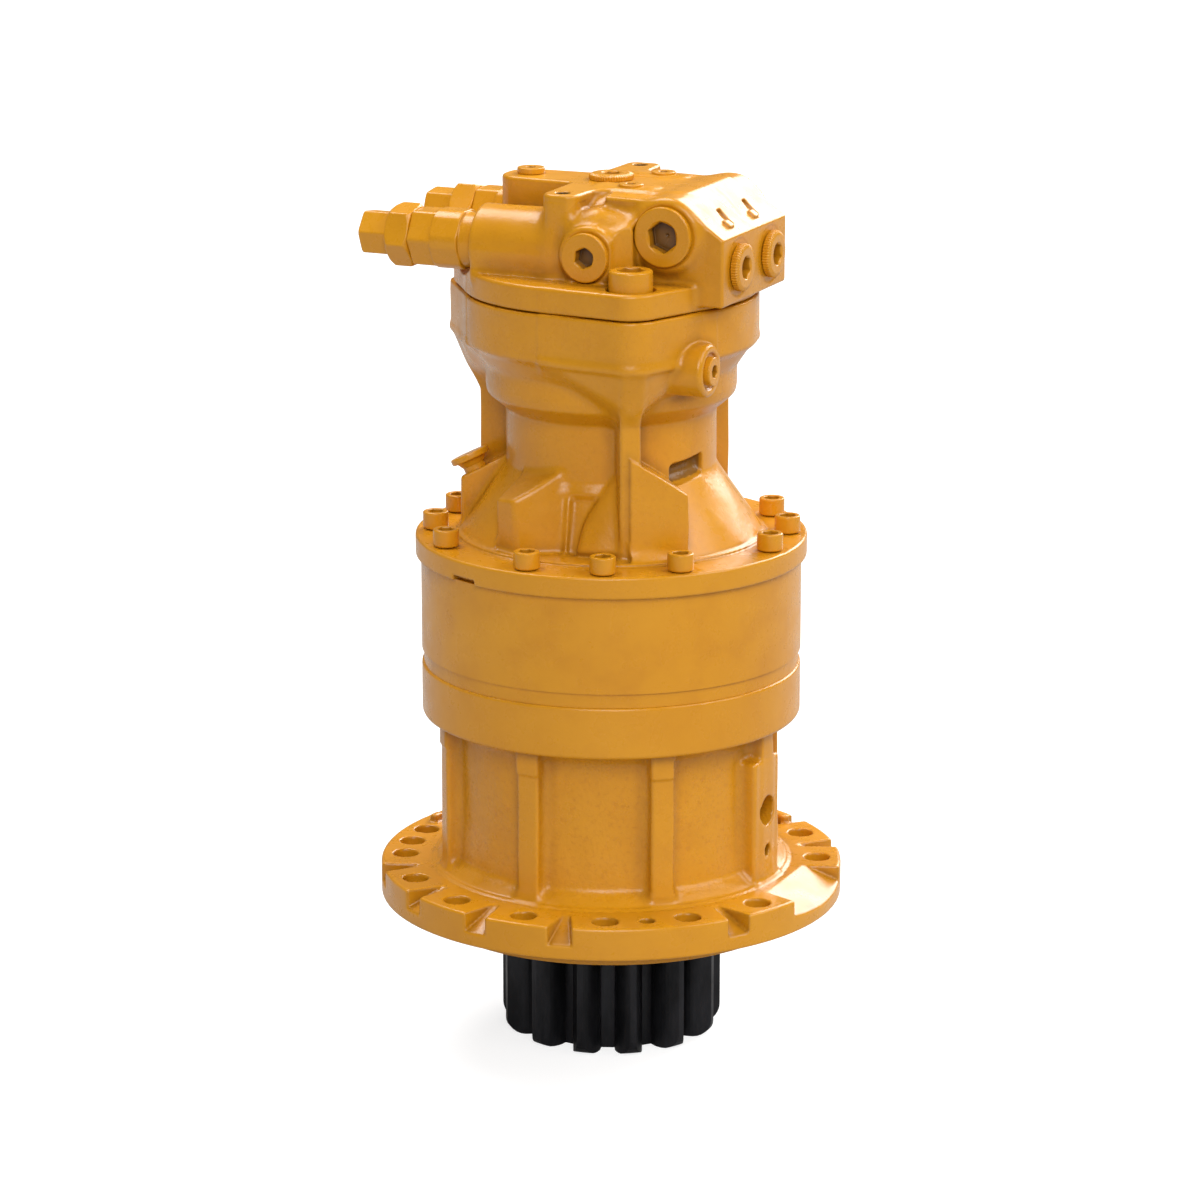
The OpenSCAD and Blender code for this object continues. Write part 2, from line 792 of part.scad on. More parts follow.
// Casing outside: skirt, neck, step, barrel, lobes, webs, gussets and bosses
module casing_outside() {
    rotate_extrude($fn = round_fn) polygon([
        [hub_room_r / 2, ring_top], [casing_flange_r, ring_top], [casing_flange_r, casing_flange_top],
        [skirt_r, casing_flange_top], [skirt_r - skirt_lip, casing_flange_top + skirt_lip],
        [skirt_r - 4 * skirt_lip, casing_flange_top + 5 * skirt_lip],
        [skirt_r - 8 * skirt_lip, casing_flange_top + 10 * skirt_lip],
        [neck_r + skirt_lip, neck_bottom - 2 * skirt_lip],
        [neck_r, neck_bottom], [neck_r, neck_top], [step_r, step_bottom], [step_r, step_top],
        [barrel_r, barrel_bottom], [hub_room_r / 2, barrel_bottom + over]]);
    translate([0, 0, barrel_bottom]) lobed_disc(barrel_r, joint_z - barrel_bottom);
    for (a = lobe_angles) rotate([0, 0, a]) {
        translate([neck_r / 2, -web_w / 2, casing_flange_top - over])
            cube([web_r - neck_r / 2, web_w, web_top - casing_flange_top + 2 * over]);
        hull() {
            translate([cover_screw_r, 0, barrel_bottom]) cylinder(r = lobe_r - over, h = over, $fn = hull_fn);
            translate([neck_r, -web_w / 2, web_top]) cube([web_r - neck_r, web_w, over / 10]);
        }
    }
    for (i = [0, 1]) rotate([0, 0, lobe_angles[i]]) gusset();
    rotate([0, 0, 180]) filler_block();
    for (a = hump_angles) rotate([0, 0, a]) hump();
    translate([neck_r / 2, brake_port_y, brake_port_z]) along_x()
        cylinder(r = brake_boss_r, h = brake_port_x - neck_r / 2, $fn = round_fn);
}

// Flat-faced gusset beside a web: a prism under a slanted top
module gusset() {
    p0 = polar(gusset_in_r, gusset_a0);
    p1 = polar(gusset_r, gusset_a1);
    intersection() {
        translate([0, 0, casing_flange_top - over]) linear_extrude(height = gusset_top - casing_flange_top + over)
            polygon([p0, p1, polar(neck_r / 2, gusset_a1), polar(neck_r / 2, gusset_a0)]);
        rotate([0, 0, atan2(p1[1] - p0[1], p1[0] - p0[0])]) rotate([90, 0, 0])
            translate([0, 0, -gusset_r]) linear_extrude(height = 2 * gusset_r)
            let (s = gusset_in_r * cos(atan2(p1[1] - p0[1], p1[0] - p0[0]) - gusset_a0),
                 run = norm(p1 - p0))
            polygon([[s - run, casing_flange_top - 2 * over], [s - run, gusset_top],
                [s, gusset_top], [s + run, gusset_low], [s + run, casing_flange_top - 2 * over]]);
    }
}

// Wedge-shaped swelling on the skirt's front
module hump() {
    translate([neck_r / 2, 0, casing_flange_top - over]) rotate([90, 0, 0])
        translate([0, 0, -hump_w / 2]) linear_extrude(height = hump_w) polygon([
            [0, 0], [hump_r - neck_r / 2, 0], [hump_r - neck_r / 2, hump_h / 3],
            [neck_r / 2, hump_h], [0, hump_h]]);
}

// Block beside the left web, its top square to the filler cap's stem
module filler_block() {
    s = filler_r * cos(filler_a - filler_lean_a);
    intersection() {
        translate([0, 0, casing_flange_top - over]) linear_extrude(height = gusset_top - casing_flange_top)
            polygon([[neck_r / 2, 0], [web_r, 0], polar(gusset_r, gusset_a1), polar(neck_r / 2, gusset_a1)]);
        rotate([0, 0, filler_lean_a]) rotate([90, 0, 0]) translate([0, 0, -gusset_r])
            linear_extrude(height = 2 * gusset_r) polygon([
                [0, casing_flange_top - 2 * over], [2 * gusset_r, casing_flange_top - 2 * over],
                [2 * gusset_r, filler_z - (2 * gusset_r - s) * tan(filler_lean)],
                [0, filler_z + s * tan(filler_lean)]]);
    }
}

module filler_place() {
    rotate([0, 0, 180 + filler_a]) translate([filler_r, 0, filler_z])
        rotate([0, 0, filler_lean_a - filler_a]) rotate([0, filler_lean, 0]) children();
}

module casing_inside() {
    disc(pin_room_r, pin_room_h + over, ring_top - over);
    disc(hub_room_r, hub_room_z - ring_top, ring_top);
    disc(shaft_seal_or + seat_gap, shaft_seal_w + over, hub_room_z - over);
    disc(shaft_collar_r + over, swash_seat_z - hub_room_z, hub_room_z);
    disc(front_bearing_r + seat_gap, swash_seat_z - front_z + over, front_z);
    disc(chamber_r, pack_z - swash_seat_z + over, swash_seat_z);
    disc(pack_bore_r, pack_top - pack_z + over, pack_z);
    around(separator_lugs) translate([0, 0, pack_z]) intersection() {
        translate([0, -separator_lug_w / 2 - fit_gap, 0])
            cube([pack_slot_r + over, separator_lug_w + 2 * fit_gap, pack_h + over]);
        cylinder(r = pack_slot_r, h = pack_h + over, $fn = round_fn);
    }
    disc(piston_low_r + fit_gap, joint_z - pack_top, pack_top);
    disc(brake_piston_r + fit_gap, joint_z - pack_top - brake_room_step + over, pack_top + brake_room_step);
}

module motor_casing() {
    color(paint) difference() {
        casing_outside();
        casing_inside();
        for (a = screw_angles) rotate([0, 0, a]) {
            translate([flange_screw_r, 0, ring_top - over])
                cylinder(r = screw_hole_r, h = casing_flange_t + 2 * over, $fn = small_fn);
            translate([flange_screw_r, 0, casing_flange_top])
                cylinder(r = screw_head_r + over, h = 3 * screw_head_h, $fn = small_fn);
        }
        for (a = lobe_angles) rotate([0, 0, a]) translate([cover_screw_r, 0, joint_z - cover_screw_bite - over])
            cylinder(r = cover_screw_rad + fit_gap, h = cover_screw_bite + 2 * over, $fn = small_fn);
        translate([brake_port_x - brake_plug_sink, brake_port_y, brake_port_z]) along_x() {
            cylinder(r = brake_plug_seat_r, h = brake_plug_sink + over, $fn = small_fn);
            translate([0, 0, -brake_thread_l])
                cylinder(r = brake_thread_r + fit_gap, h = brake_thread_l + over, $fn = small_fn);
            translate([0, 0, -brake_pass_l]) cylinder(r = brake_pass_r, h = brake_pass_l, $fn = small_fn);
        }
        filler_place() translate([0, 0, -filler_stem_l])
            cylinder(r = filler_stem_r + fit_gap, h = filler_stem_l + over, $fn = small_fn);
        rotate([0, 0, flange_notch_a]) translate([casing_flange_r - flange_notch_in, -flange_notch_w / 2, ring_top - over])
            cube([flange_notch_in + over, flange_notch_w, flange_notch_h + over]);
        cord_groove(ring_cord_r, ring_top, 1);
        cord_groove(cover_cord_r, joint_z, -1);
    }
}

// Cover outside: flange, star-shaped top, valve bosses, plug bosses and port block
module star_top() {
    linear_extrude(height = top_z - ledge_z + over) polygon([
        [plateau_x0, -plateau_y], [plateau_x1, -plateau_y],
        [plateau_x1, plateau_y], [plateau_x0, plateau_y]]);
    for (s = [-1, 1]) linear_extrude(height = top_z - ledge_z + over) polygon([
        [ear_x0, 0], [ear_x0, s * (ear_y - ear_round)], [ear_x0 + ear_round, s * ear_y],
        [ear_x1 - ear_round, s * ear_y], [ear_x1, s * (ear_y - ear_round)], [ear_x1, 0]]);
    translate([-nose_x, 0, 0]) cylinder(r = nose_r, h = top_z - ledge_z + over, $fn = round_fn);
    translate([-nose_x, -nose_r, 0]) cube([nose_x, 2 * nose_r, top_z - ledge_z + over]);
}

module port_block() {
    w = port_block_w;
    rotate([90, 0, 0]) translate([0, 0, -w / 2]) linear_extrude(height = w) polygon([
        [block_in_x, block_under_z], [port_face_x, block_under_z], [port_face_x, slope_low_z],
        [slope_top_x, slope_top_z], [block_in_x, slope_top_z]]);
    translate([slope_top_x - ridge_w, -ridge_l / 2, slope_top_z - over])
        cube([ridge_w, ridge_l, ridge_h + over]);
}

module cover_outside() {
    translate([0, 0, joint_z]) lobed_disc(barrel_r, cover_flange_t);
    translate([0, 0, ledge_z - over]) star_top();
    for (s = [-1, 1]) {
        translate([relief_boss_x, s * relief_y, relief_z]) along_x()
            cylinder(r = relief_boss_r, h = relief_boss_in - relief_boss_x, $fn = round_fn);
        translate([relief_boss_x, s * relief_y - 0.8 * relief_boss_r, ledge_z - over])
            cube([relief_boss_in - relief_boss_x, 1.6 * relief_boss_r, relief_z - ledge_z]);
        translate([side_plug_x, 0, side_plug_z]) along_y(s)
            cylinder(r = side_boss_r, h = side_plug_y, $fn = round_fn);
        translate([small_plug_x, 0, small_plug_z]) along_y(s)
            cylinder(r = small_boss_r, h = small_plug_y, $fn = round_fn);
    }
    intersection() {
        port_block();
        translate([0, 0, joint_z]) cylinder(r = 2 * port_face_x, h = top_z - joint_z, $fn = round_fn);
    }
}

module cover_inside() {
    disc(rear_bearing_r + seat_gap, rear_bearing_w + 4 * face_gap + over, joint_z - over);
    for (s = [-1, 1]) {
        translate([port_bore_end_x, s * port_y, port_z]) along_x()
            cylinder(r = port_bore_r, h = port_face_x - port_bore_end_x, $fn = small_fn);
        translate([port_face_x - port_plug_l, s * port_y, port_z]) along_x()
            cylinder(r = port_plug_thread_r + fit_gap, h = port_plug_l + over, $fn = small_fn);
        translate([kidney_circle_x, s * port_y, joint_z - over])
            cylinder(r = kidney_bore_r, h = port_z - joint_z + over, $fn = small_fn);
        translate([relief_boss_x - over, s * relief_y, relief_z]) along_x()
            cylinder(r = relief_thread_r + fit_gap, h = relief_thread_l + 2 * over, $fn = small_fn);
        translate([relief_boss_x - relief_body_l, s * relief_y, relief_z]) along_x()
            cylinder(r = relief_d / 2 + over, h = relief_body_l, $fn = small_fn);
        translate([side_plug_x, 0, side_plug_z]) along_y(s) {
            translate([0, 0, side_plug_y - side_plug_l])
                cylinder(r = side_plug_thread_r + fit_gap, h = side_plug_l + over, $fn = small_fn);
            translate([0, 0, check_seat_y]) cylinder(r = check_bore_r, h = side_plug_y - check_seat_y, $fn = small_fn);
            translate([0, 0, check_seat_y - check_l]) cylinder(r = check_nose_r, h = check_l + over, $fn = small_fn);
        }
        translate([side_plug_x, s * port_y, port_z]) cylinder(r = kidney_r, h = side_plug_z - port_z, $fn = small_fn);
        translate([small_plug_x, 0, small_plug_z]) along_y(s) translate([0, 0, small_plug_y - small_plug_l])
            cylinder(r = small_plug_thread_r + fit_gap, h = small_plug_l + over, $fn = small_fn);
        translate([ear_hole_x, s * ear_hole_y, top_z - ear_hole_l])
            cylinder(r = ear_hole_r, h = ear_hole_l + over, $fn = small_fn);
        translate([top_pair_x, s * top_pair_y, top_z - top_plug_l])
            cylinder(r = top_plug_thread_r + fit_gap, h = top_plug_l + over, $fn = small_fn);
    }
    translate([-nose_x, 0, top_z - top_plug_l])
        cylinder(r = top_plug_thread_r + fit_gap, h = top_plug_l + over, $fn = small_fn);
    translate([0, 0, top_z - centre_plug_l])
        cylinder(r = centre_plug_thread_r + fit_gap, h = centre_plug_l + over, $fn = small_fn);
    around(spring_count, 180 / spring_count) translate([spring_circle_r, 0, joint_z - over])
        cylinder(r = spring_pocket_r, h = spring_pocket_up + over, $fn = small_fn);
    for (a = lobe_angles) rotate([0, 0, a]) translate([cover_screw_r, 0, joint_z - over]) {
        cylinder(r = cover_screw_rad + fit_gap, h = cover_flange_t + 2 * over, $fn = small_fn);
        translate([0, 0, cover_seat_z - joint_z + over]) cylinder(r = cover_sink_r, h = cover_h, $fn = small_fn);
    }
}

module valve_cover() {
    color(paint) difference() {
        cover_outside();
        cover_inside();
    }
}

module flange_screws() {
    l = casing_flange_top - housing_top + screw_bite - over;
    color(paint) for (a = screw_angles) rotate([0, 0, a])
        translate([flange_screw_r, 0, casing_flange_top])
        socket_screw(screw_r, screw_head_r, screw_head_h, l, screw_socket_af, screw_socket_h);
}

module cover_screws() {
    l = cover_seat_z - joint_z + cover_screw_bite - over;
    color(paint) for (a = lobe_angles) rotate([0, 0, a])
        translate([cover_screw_r, 0, cover_seat_z])
        socket_screw(cover_screw_rad, cover_head_r, cover_head_h, l, cover_socket_af, cover_socket_h);
}

module seal_cover() {
    color(black_iron) difference() {
        ring(seal_cover_r, seal_cover_bore_r, seal_cover_t, -pilot_h);
        disc(seal_r + seat_gap, seal_w + over, low_z - seal_w);
        around(seal_screw_count) translate([seal_screw_circle_r, 0, -pilot_h - over]) {
            cylinder(r = seal_screw_r + fit_gap, h = seal_cover_t + 2 * over, $fn = small_fn);
            translate([0, 0, over])
                cylinder(r1 = 2 * seal_screw_r + fit_gap, r2 = seal_screw_r + fit_gap, h = seal_screw_r, $fn = small_fn);
        }
    }
}

module seal_cover_screws() {
    color(dark_steel) around(seal_screw_count) translate([seal_screw_circle_r, 0, -pilot_h]) difference() {
        union() {
            cylinder(r1 = 2 * seal_screw_r, r2 = seal_screw_r, h = seal_screw_r, $fn = small_fn);
            cylinder(r = seal_screw_r, h = seal_screw_l, $fn = small_fn);
        }
        translate([0, 0, -over]) hex_prism(seal_screw_r, over + seal_screw_r / 2);
    }
}

module pinion_oil_seal() {
    lip = seal_w / 3;
    color(black_rubber) rotate_extrude($fn = round_fn) polygon([
        [low_bore_r + fit_gap, low_z - seal_w + lip], [seal_r - lip, low_z - seal_w],
        [seal_r, low_z - seal_w], [seal_r, low_z - face_gap], [seal_r - lip, low_z - face_gap],
        [seal_r - lip, low_z - seal_w + lip], [low_bore_r + lip, low_z - seal_w + 1.5 * lip],
        [low_bore_r + fit_gap, low_z - seal_w + 2 * lip]]);
}

// Races of the output bearings, each with a channel for its rollers
module race_outer(r, pitch, roller_r, w, z) {
    color(steel) difference() {
        ring(r, pitch, w, z);
        disc(pitch + roller_r + race_gap, w - 2 * roller_end + 2 * race_gap, z + roller_end - race_gap);
        disc(pitch + roller_r / 2, w + 2 * over, z - over);
    }
}

module race_inner(bore, pitch, roller_r, w, z) {
    color(steel) difference() {
        ring(pitch - roller_r / 2, bore, w, z);
        difference() {
            disc(pitch, w - 2 * roller_end + 2 * race_gap, z + roller_end - race_gap);
            disc(pitch - roller_r - race_gap, w, z);
        }
    }
}

module output_bearing_outers() {
    race_outer(low_bearing_r, roller_pitch_low, roller_r_low, low_bearing_w, low_z);
    race_outer(up_bearing_r, roller_pitch_up, roller_r_up, up_bearing_w, up_z);
}

module output_bearing_inners() {
    race_inner(low_bore_r + fit_gap, roller_pitch_low, roller_r_low, low_bearing_w, low_z);
    race_inner(up_bore_r + fit_gap, roller_pitch_up, roller_r_up, up_bearing_w, up_z);
}

module roller_set(pitch, r, w, z) {
    around(roller_count) translate([pitch, 0, z + roller_end])
        cylinder(r = r, h = w - 2 * roller_end, $fn = small_fn);
}

module output_bearing_rollers() {
    color(steel) {
        roller_set(roller_pitch_low, roller_r_low, low_bearing_w, low_z);
        roller_set(roller_pitch_up, roller_r_up, up_bearing_w, up_z);
    }
}

module pinion_shaft() {
    half = PI * pinion_m / 4 + pinion_shift * pinion_m * tan(20);
    root_r = pinion_m * (pinion_z / 2 + pinion_shift - pinion_root_shares);
    tip_r = pinion_d / 2;
    color(black_iron) {
        translate([0, 0, pinion_top - pinion_w]) intersection() {
            translate([0, 0, -over]) linear_extrude(height = pinion_w + over)
                polygon(gear_outline(pinion_z, pinion_m, root_r, tip_r + over, half, pinion_phase, 8));
            rotate_extrude($fn = round_fn) polygon(concat(
                [[0, pinion_w + over], [0, 0]],
                [for (i = [0:corner_steps]) let (a = 90 / corner_steps * i)
                    [tip_r - pinion_round * (1 - sin(a)), pinion_round * (1 - cos(a))]],
                [[tip_r, pinion_w + over]]));
        }
        disc(low_bore_r, low_z + low_bearing_w - pinion_top + over, pinion_top - over);
        disc(mid_shaft_r, up_z - low_z - low_bearing_w, low_z + low_bearing_w);
        disc(up_bore_r, up_bearing_w + over, up_z - over);
        disc(nut_thread_r, nut_h, up_z + up_bearing_w);
        translate([0, 0, carrier2_z - over]) linear_extrude(height = carrier2_top - carrier2_z)
            polygon(spline_outline(shaft_spline_z, shaft_spline_r, shaft_spline_in_r));
    }
}

module bearing_nut() {
    color(dark_steel) difference() {
        ring(nut_r, nut_thread_r + fit_gap, nut_h, up_z + up_bearing_w);
        around(nut_slots) translate([nut_r - nut_slot_w / 2, -nut_slot_w / 2, up_z + up_bearing_w - over])
            cube([nut_slot_w, nut_slot_w, nut_h + 2 * over]);
    }
}

// Three-lobed carrier plate with pin holes
module carrier_plate(r, h, z, centre, pin, a0) {
    difference() {
        disc(r, h, z);
        around(planet_count, a0) translate([centre, 0, z - over])
            cylinder(r = pin + fit_gap, h = h + 2 * over, $fn = small_fn);
        around(planet_count, a0 + 180 / planet_count) translate([centre, 0, z - over])
            cylinder(r = pin, h = h + 2 * over, $fn = small_fn);
    }
}

module carrier_2() {
    color(dark_steel) difference() {
        carrier_plate(carrier2_r, carrier2_top - carrier2_z, carrier2_z, centre2, pin2_r, planet_a0_2);
        translate([0, 0, carrier2_z - over]) linear_extrude(height = carrier2_top - carrier2_z + 2 * over)
            polygon(spline_outline(shaft_spline_z, shaft_spline_r + fit_gap, shaft_spline_in_r + fit_gap));
    }
}

module planet_pins_2() {
    color(steel) around(planet_count, planet_a0_2) translate([centre2, 0, 0]) {
        disc(pin2_r, pin2_top - carrier2_z - over, carrier2_z + over);
        disc(pin2_head_r, pin2_head_h, pin2_top);
    }
}

module pin_bushes_2() {
    color(bronze) around(planet_count, planet_a0_2) translate([centre2, 0, 0])
        ring(pin2_r + bush_t, pin2_r + fit_gap, planet2_w, planet2_z0);
}

module thrust_washers_2() {
    color(bronze) around(planet_count, planet_a0_2) translate([centre2, 0, 0]) {
        ring(washer2_r, pin2_r + fit_gap, washer_t, carrier2_top);
        ring(washer2_r, pin2_r + fit_gap, washer_t - seat_gap, pin2_top - washer_t);
    }
}

module planet_2(i) {
    a = planet_at(2, i);
    color(steel) rotate([0, 0, a]) translate([centre2, 0, 0]) difference() {
        gear_prism(planet2_z, planet2_w, planet2_z0, 0);
        disc(pin2_r + bush_t + fit_gap, planet2_w + 2 * over, planet2_z0 - over);
    }
}
module planet_2a() { planet_2(0); }
module planet_2b() { planet_2(1); }
module planet_2c() { planet_2(2); }

module sun_2() {
    color(steel) difference() {
        union() {
            gear_prism(sun2_z, pin2_top - sun2_z0, sun2_z0, planet_a0_2 + 180 / sun2_z);
            disc(sun2_neck_r, carrier1_z - pin2_top + over, pin2_top - over);
            disc(carrier1_spline_in_r - over, 2 * over, carrier1_z - over);
            translate([0, 0, carrier1_z]) linear_extrude(height = carrier1_t)
                polygon(spline_outline(sun2_spline_z, carrier1_spline_r, carrier1_spline_in_r));
        }
        disc(sun2_in_r, carrier1_top - sun2_z0 + 2 * over, sun2_z0 - over);
    }
}

module carrier_1() {
    color(dark_steel) difference() {
        carrier_plate(carrier1_r, carrier1_t, carrier1_z, centre1, pin1_r, planet_a0_1);
        translate([0, 0, carrier1_z - over]) linear_extrude(height = carrier1_t + 2 * over)
            polygon(spline_outline(sun2_spline_z, carrier1_spline_r + fit_gap, carrier1_spline_in_r + fit_gap));
    }
}

module planet_pins_1() {
    color(steel) around(planet_count, planet_a0_1) translate([centre1, 0, 0]) {
        disc(pin1_r, pin1_top - carrier1_z, carrier1_z);
        disc(pin1_head_r, pin1_head_h, pin1_top);
    }
}

module thrust_washers_1() {
    color(bronze) around(planet_count, planet_a0_1) translate([centre1, 0, 0]) {
        ring(washer1_r, pin1_r + fit_gap, washer_t, carrier1_top);
        ring(washer1_r, pin1_r + fit_gap, washer_t - seat_gap, pin1_top - washer_t);
    }
}

module planet_1(i) {
    a = planet_at(1, i);
    color(steel) rotate([0, 0, a]) translate([centre1, 0, 0]) difference() {
        gear_prism(planet1_z, planet1_w, planet1_z0, 0);
        disc(pin1_r + fit_gap, planet1_w + 2 * over, planet1_z0 - over);
    }
}
module planet_1a() { planet_1(0); }
module planet_1b() { planet_1(1); }
module planet_1c() { planet_1(2); }

module sun_1() {
    color(steel) difference() {
        union() {
            gear_prism(sun1_z, sun1_teeth_w, sun1_z0, planet_a0_1);
            disc(sun1_hub_r, sun1_hub_h + over, sun1_top - sun1_hub_h - over);
        }
        translate([0, 0, sun1_z0 - over]) linear_extrude(height = sun1_top - sun1_z0 + 2 * over)
            polygon(spline_outline(shaft_low_z, shaft_low_r + fit_gap, shaft_low_in_r + fit_gap));
    }
}

module drive_shaft() {
    color(steel) {
        translate([0, 0, sun1_z0 + over]) linear_extrude(height = sun1_top - sun1_z0)
            polygon(spline_outline(shaft_low_z, shaft_low_r, shaft_low_in_r));
        disc(shaft_seal_r, front_z - sun1_top, sun1_top + face_gap);
        disc(front_bore_r, front_bearing_w + over, front_z);
        disc(shaft_collar_r, swash_seat_z - front_top_z + over, front_top_z + seat_gap);
        disc(shaft_body_in_r, block_z - swash_seat_z + over, swash_seat_z);
        translate([0, 0, block_z]) linear_extrude(height = block_h - spline_end)
            polygon(spline_outline(shaft_body_z, shaft_body_r, shaft_body_in_r));
        disc(shaft_top_r, joint_z - block_top + spline_end + over / 2, block_top - spline_end - over / 2);
        disc(rear_bore_r, rear_bearing_w + face_gap + over, joint_z - over);
    }
}

module shaft_seal() {
    lip = shaft_seal_w / 3;
    color(black_rubber) rotate_extrude($fn = round_fn) polygon([
        [shaft_seal_r + fit_gap, hub_room_z + lip], [shaft_seal_or - lip, hub_room_z],
        [shaft_seal_or, hub_room_z], [shaft_seal_or, seal_top_z - face_gap],
        [shaft_seal_or - lip, seal_top_z - face_gap], [shaft_seal_or - lip, hub_room_z + lip],
        [shaft_seal_r + lip, hub_room_z + 1.5 * lip], [shaft_seal_r + fit_gap, hub_room_z + 2 * lip]]);
}

// Ball races with a round groove
module ball_race(ro, ri, pitch, ball, w, z) {
    difference() {
        ring(ro, ri, w, z);
        rotate_extrude($fn = round_fn) translate([pitch, z + w / 2])
            circle(r = ball + race_gap, $fn = small_fn);
    }
}

module shaft_bearing_outers() {
    color(steel) {
        ball_race(front_bearing_r, front_ball_pitch + front_ball_r * race_t_share * 2,
            front_ball_pitch, front_ball_r, front_bearing_w, front_z);
        ball_race(rear_bearing_r, rear_ball_pitch + rear_ball_r * race_t_share * 2,
            rear_ball_pitch, rear_ball_r, rear_bearing_w, joint_z + 2 * face_gap);
    }
}

module shaft_bearing_inners() {
    color(steel) {
        ball_race(front_ball_pitch - front_ball_r * race_t_share * 2, front_bore_r + fit_gap,
            front_ball_pitch, front_ball_r, front_bearing_w, front_z);
        ball_race(rear_ball_pitch - rear_ball_r * race_t_share * 2, rear_bore_r + fit_gap,
            rear_ball_pitch, rear_ball_r, rear_bearing_w, joint_z + 2 * face_gap);
    }
}

module shaft_bearing_balls() {
    color(steel) {
        around(front_ball_count) translate([front_ball_pitch, 0, front_z + front_bearing_w / 2])
            sphere(r = front_ball_r, $fn = small_fn);
        around(rear_ball_count) translate([rear_ball_pitch, 0, joint_z + 2 * face_gap + rear_bearing_w / 2])
            sphere(r = rear_ball_r, $fn = small_fn);
    }
}

// Everything on the swash plane is drawn level and then tilted about the Y axis
module on_swash() {
    translate([0, 0, swash_mid_z]) rotate([0, -swash_tilt, 0]) children();
}

module swash_plate() {
    color(steel) difference() {
        disc(swash_r, 2 * swash_mid_t, swash_seat_z);
        disc(swash_bore_r, 2 * swash_mid_t + 2 * over, swash_seat_z - over);
        on_swash() translate([-2 * swash_r, -2 * swash_r, 0]) cube([4 * swash_r, 4 * swash_r, 4 * swash_mid_t]);
    }
}

module slippers() {
    color(bronze) for (i = [0:piston_count - 1]) on_swash()
        translate(slipper_at(i) + [0, 0, seat_gap]) difference() {
            union() {
                cylinder(r = slipper_r, h = slipper_pad_t, $fn = small_fn);
                cylinder(r = slipper_neck_r, h = slipper_h, $fn = small_fn);
            }
            translate([0, 0, ball_up]) sphere(r = piston_ball_r + race_gap, $fn = small_fn);
            translate([0, 0, ball_up]) cylinder(r1 = piston_ball_r - over, r2 = slipper_neck_r,
                h = slipper_h - ball_up + over, $fn = small_fn);
        }
}

module retainer_plate() {
    color(steel) on_swash() difference() {
        translate([ball_up * tan(swash_tilt), 0, 0])
            ring(retainer_r, retainer_bore_r, retainer_t, slipper_pad_t + 2 * seat_gap);
        for (i = [0:piston_count - 1]) translate(slipper_at(i))
            cylinder(r = retainer_hole_r, h = 4 * retainer_t, $fn = small_fn);
    }
}

module retainer_ball() {
    ball_mid = swash_mid_z + ball_up / cos(swash_tilt);
    color(steel) difference() {
        translate([0, 0, ball_mid]) sphere(r = retainer_ball_r, $fn = round_fn);
        disc(shaft_body_in_r + fit_gap, 4 * retainer_ball_r, ball_mid - 2 * retainer_ball_r);
        disc(2 * retainer_ball_r, 2 * retainer_ball_r, ball_mid - 2 * retainer_ball_r - retainer_ball_cut);
    }
}

module pistons() {
    color(steel) for (i = [0:piston_count - 1])
        translate([piston_circle_r * cos(piston_a(i)), piston_circle_r * sin(piston_a(i)), ball_z(i)]) {
            sphere(r = piston_ball_r, $fn = small_fn);
            cylinder(r1 = piston_neck_r, r2 = piston_neck_r + over / 2, h = piston_neck_l, $fn = small_fn);
            translate([0, 0, piston_neck_l]) cylinder(r = piston_r - fit_gap, h = piston_l - piston_neck_l, $fn = small_fn);
        }
}

module cylinder_block() {
    color(steel) difference() {
        disc(block_r, block_h, block_z);
        translate([0, 0, block_z - over]) linear_extrude(height = block_h + 2 * over)
            polygon(spline_outline(shaft_body_z, shaft_body_r + fit_gap, shaft_body_in_r + fit_gap));
        around(piston_count) {
            translate([piston_circle_r, 0, block_z - over])
                cylinder(r = piston_r, h = block_bore_depth + over, $fn = small_fn);
            translate([piston_circle_r, 0, block_z]) cylinder(r = kidney_r, h = block_h + over, $fn = small_fn);
        }
        around(block_slot_count) translate([block_r - block_slot_depth, -block_slot_w / 2, block_z - over])
            cube([block_slot_depth + over, block_slot_w, block_h - spline_end + over]);
    }
}

module valve_plate() {
    color(bronze) difference() {
        ring(valve_plate_r, valve_plate_bore_r, valve_plate_t, joint_z - valve_plate_t);
        for (s = [-1, 1]) for (k = [-3:3]) rotate([0, 0, 90 * s + 20 * k])
            translate([piston_circle_r, 0, joint_z - valve_plate_t - over])
            cylinder(r = kidney_r, h = valve_plate_t + 2 * over, $fn = small_fn);
    }
}

module friction_discs() {
    step = separator_t + friction_t + 2 * pack_gap;
    color(bronze) for (i = [0:separator_count - 2])
        translate([0, 0, pack_z + separator_t + pack_gap + step * i]) {
            ring(separator_out_r - over, block_r + over, friction_t);
            around(block_slot_count) translate([block_r - block_slot_depth + race_gap, -block_slot_w / 2 + race_gap, 0])
                cube([block_slot_depth + 2 * over, block_slot_w - 2 * race_gap, friction_t]);
        }
}

module separator_plates() {
    step = separator_t + friction_t + 2 * pack_gap;
    color(steel) for (i = [0:separator_count - 1]) translate([0, 0, pack_z + step * i]) {
        ring(separator_out_r, separator_in_r, separator_t);
        around(separator_lugs) intersection() {
            translate([separator_out_r - 2 * over, -separator_lug_w / 2, 0])
                cube([separator_lug_r, separator_lug_w, separator_t]);
            cylinder(r = separator_lug_r, h = separator_t, $fn = round_fn);
        }
    }
}

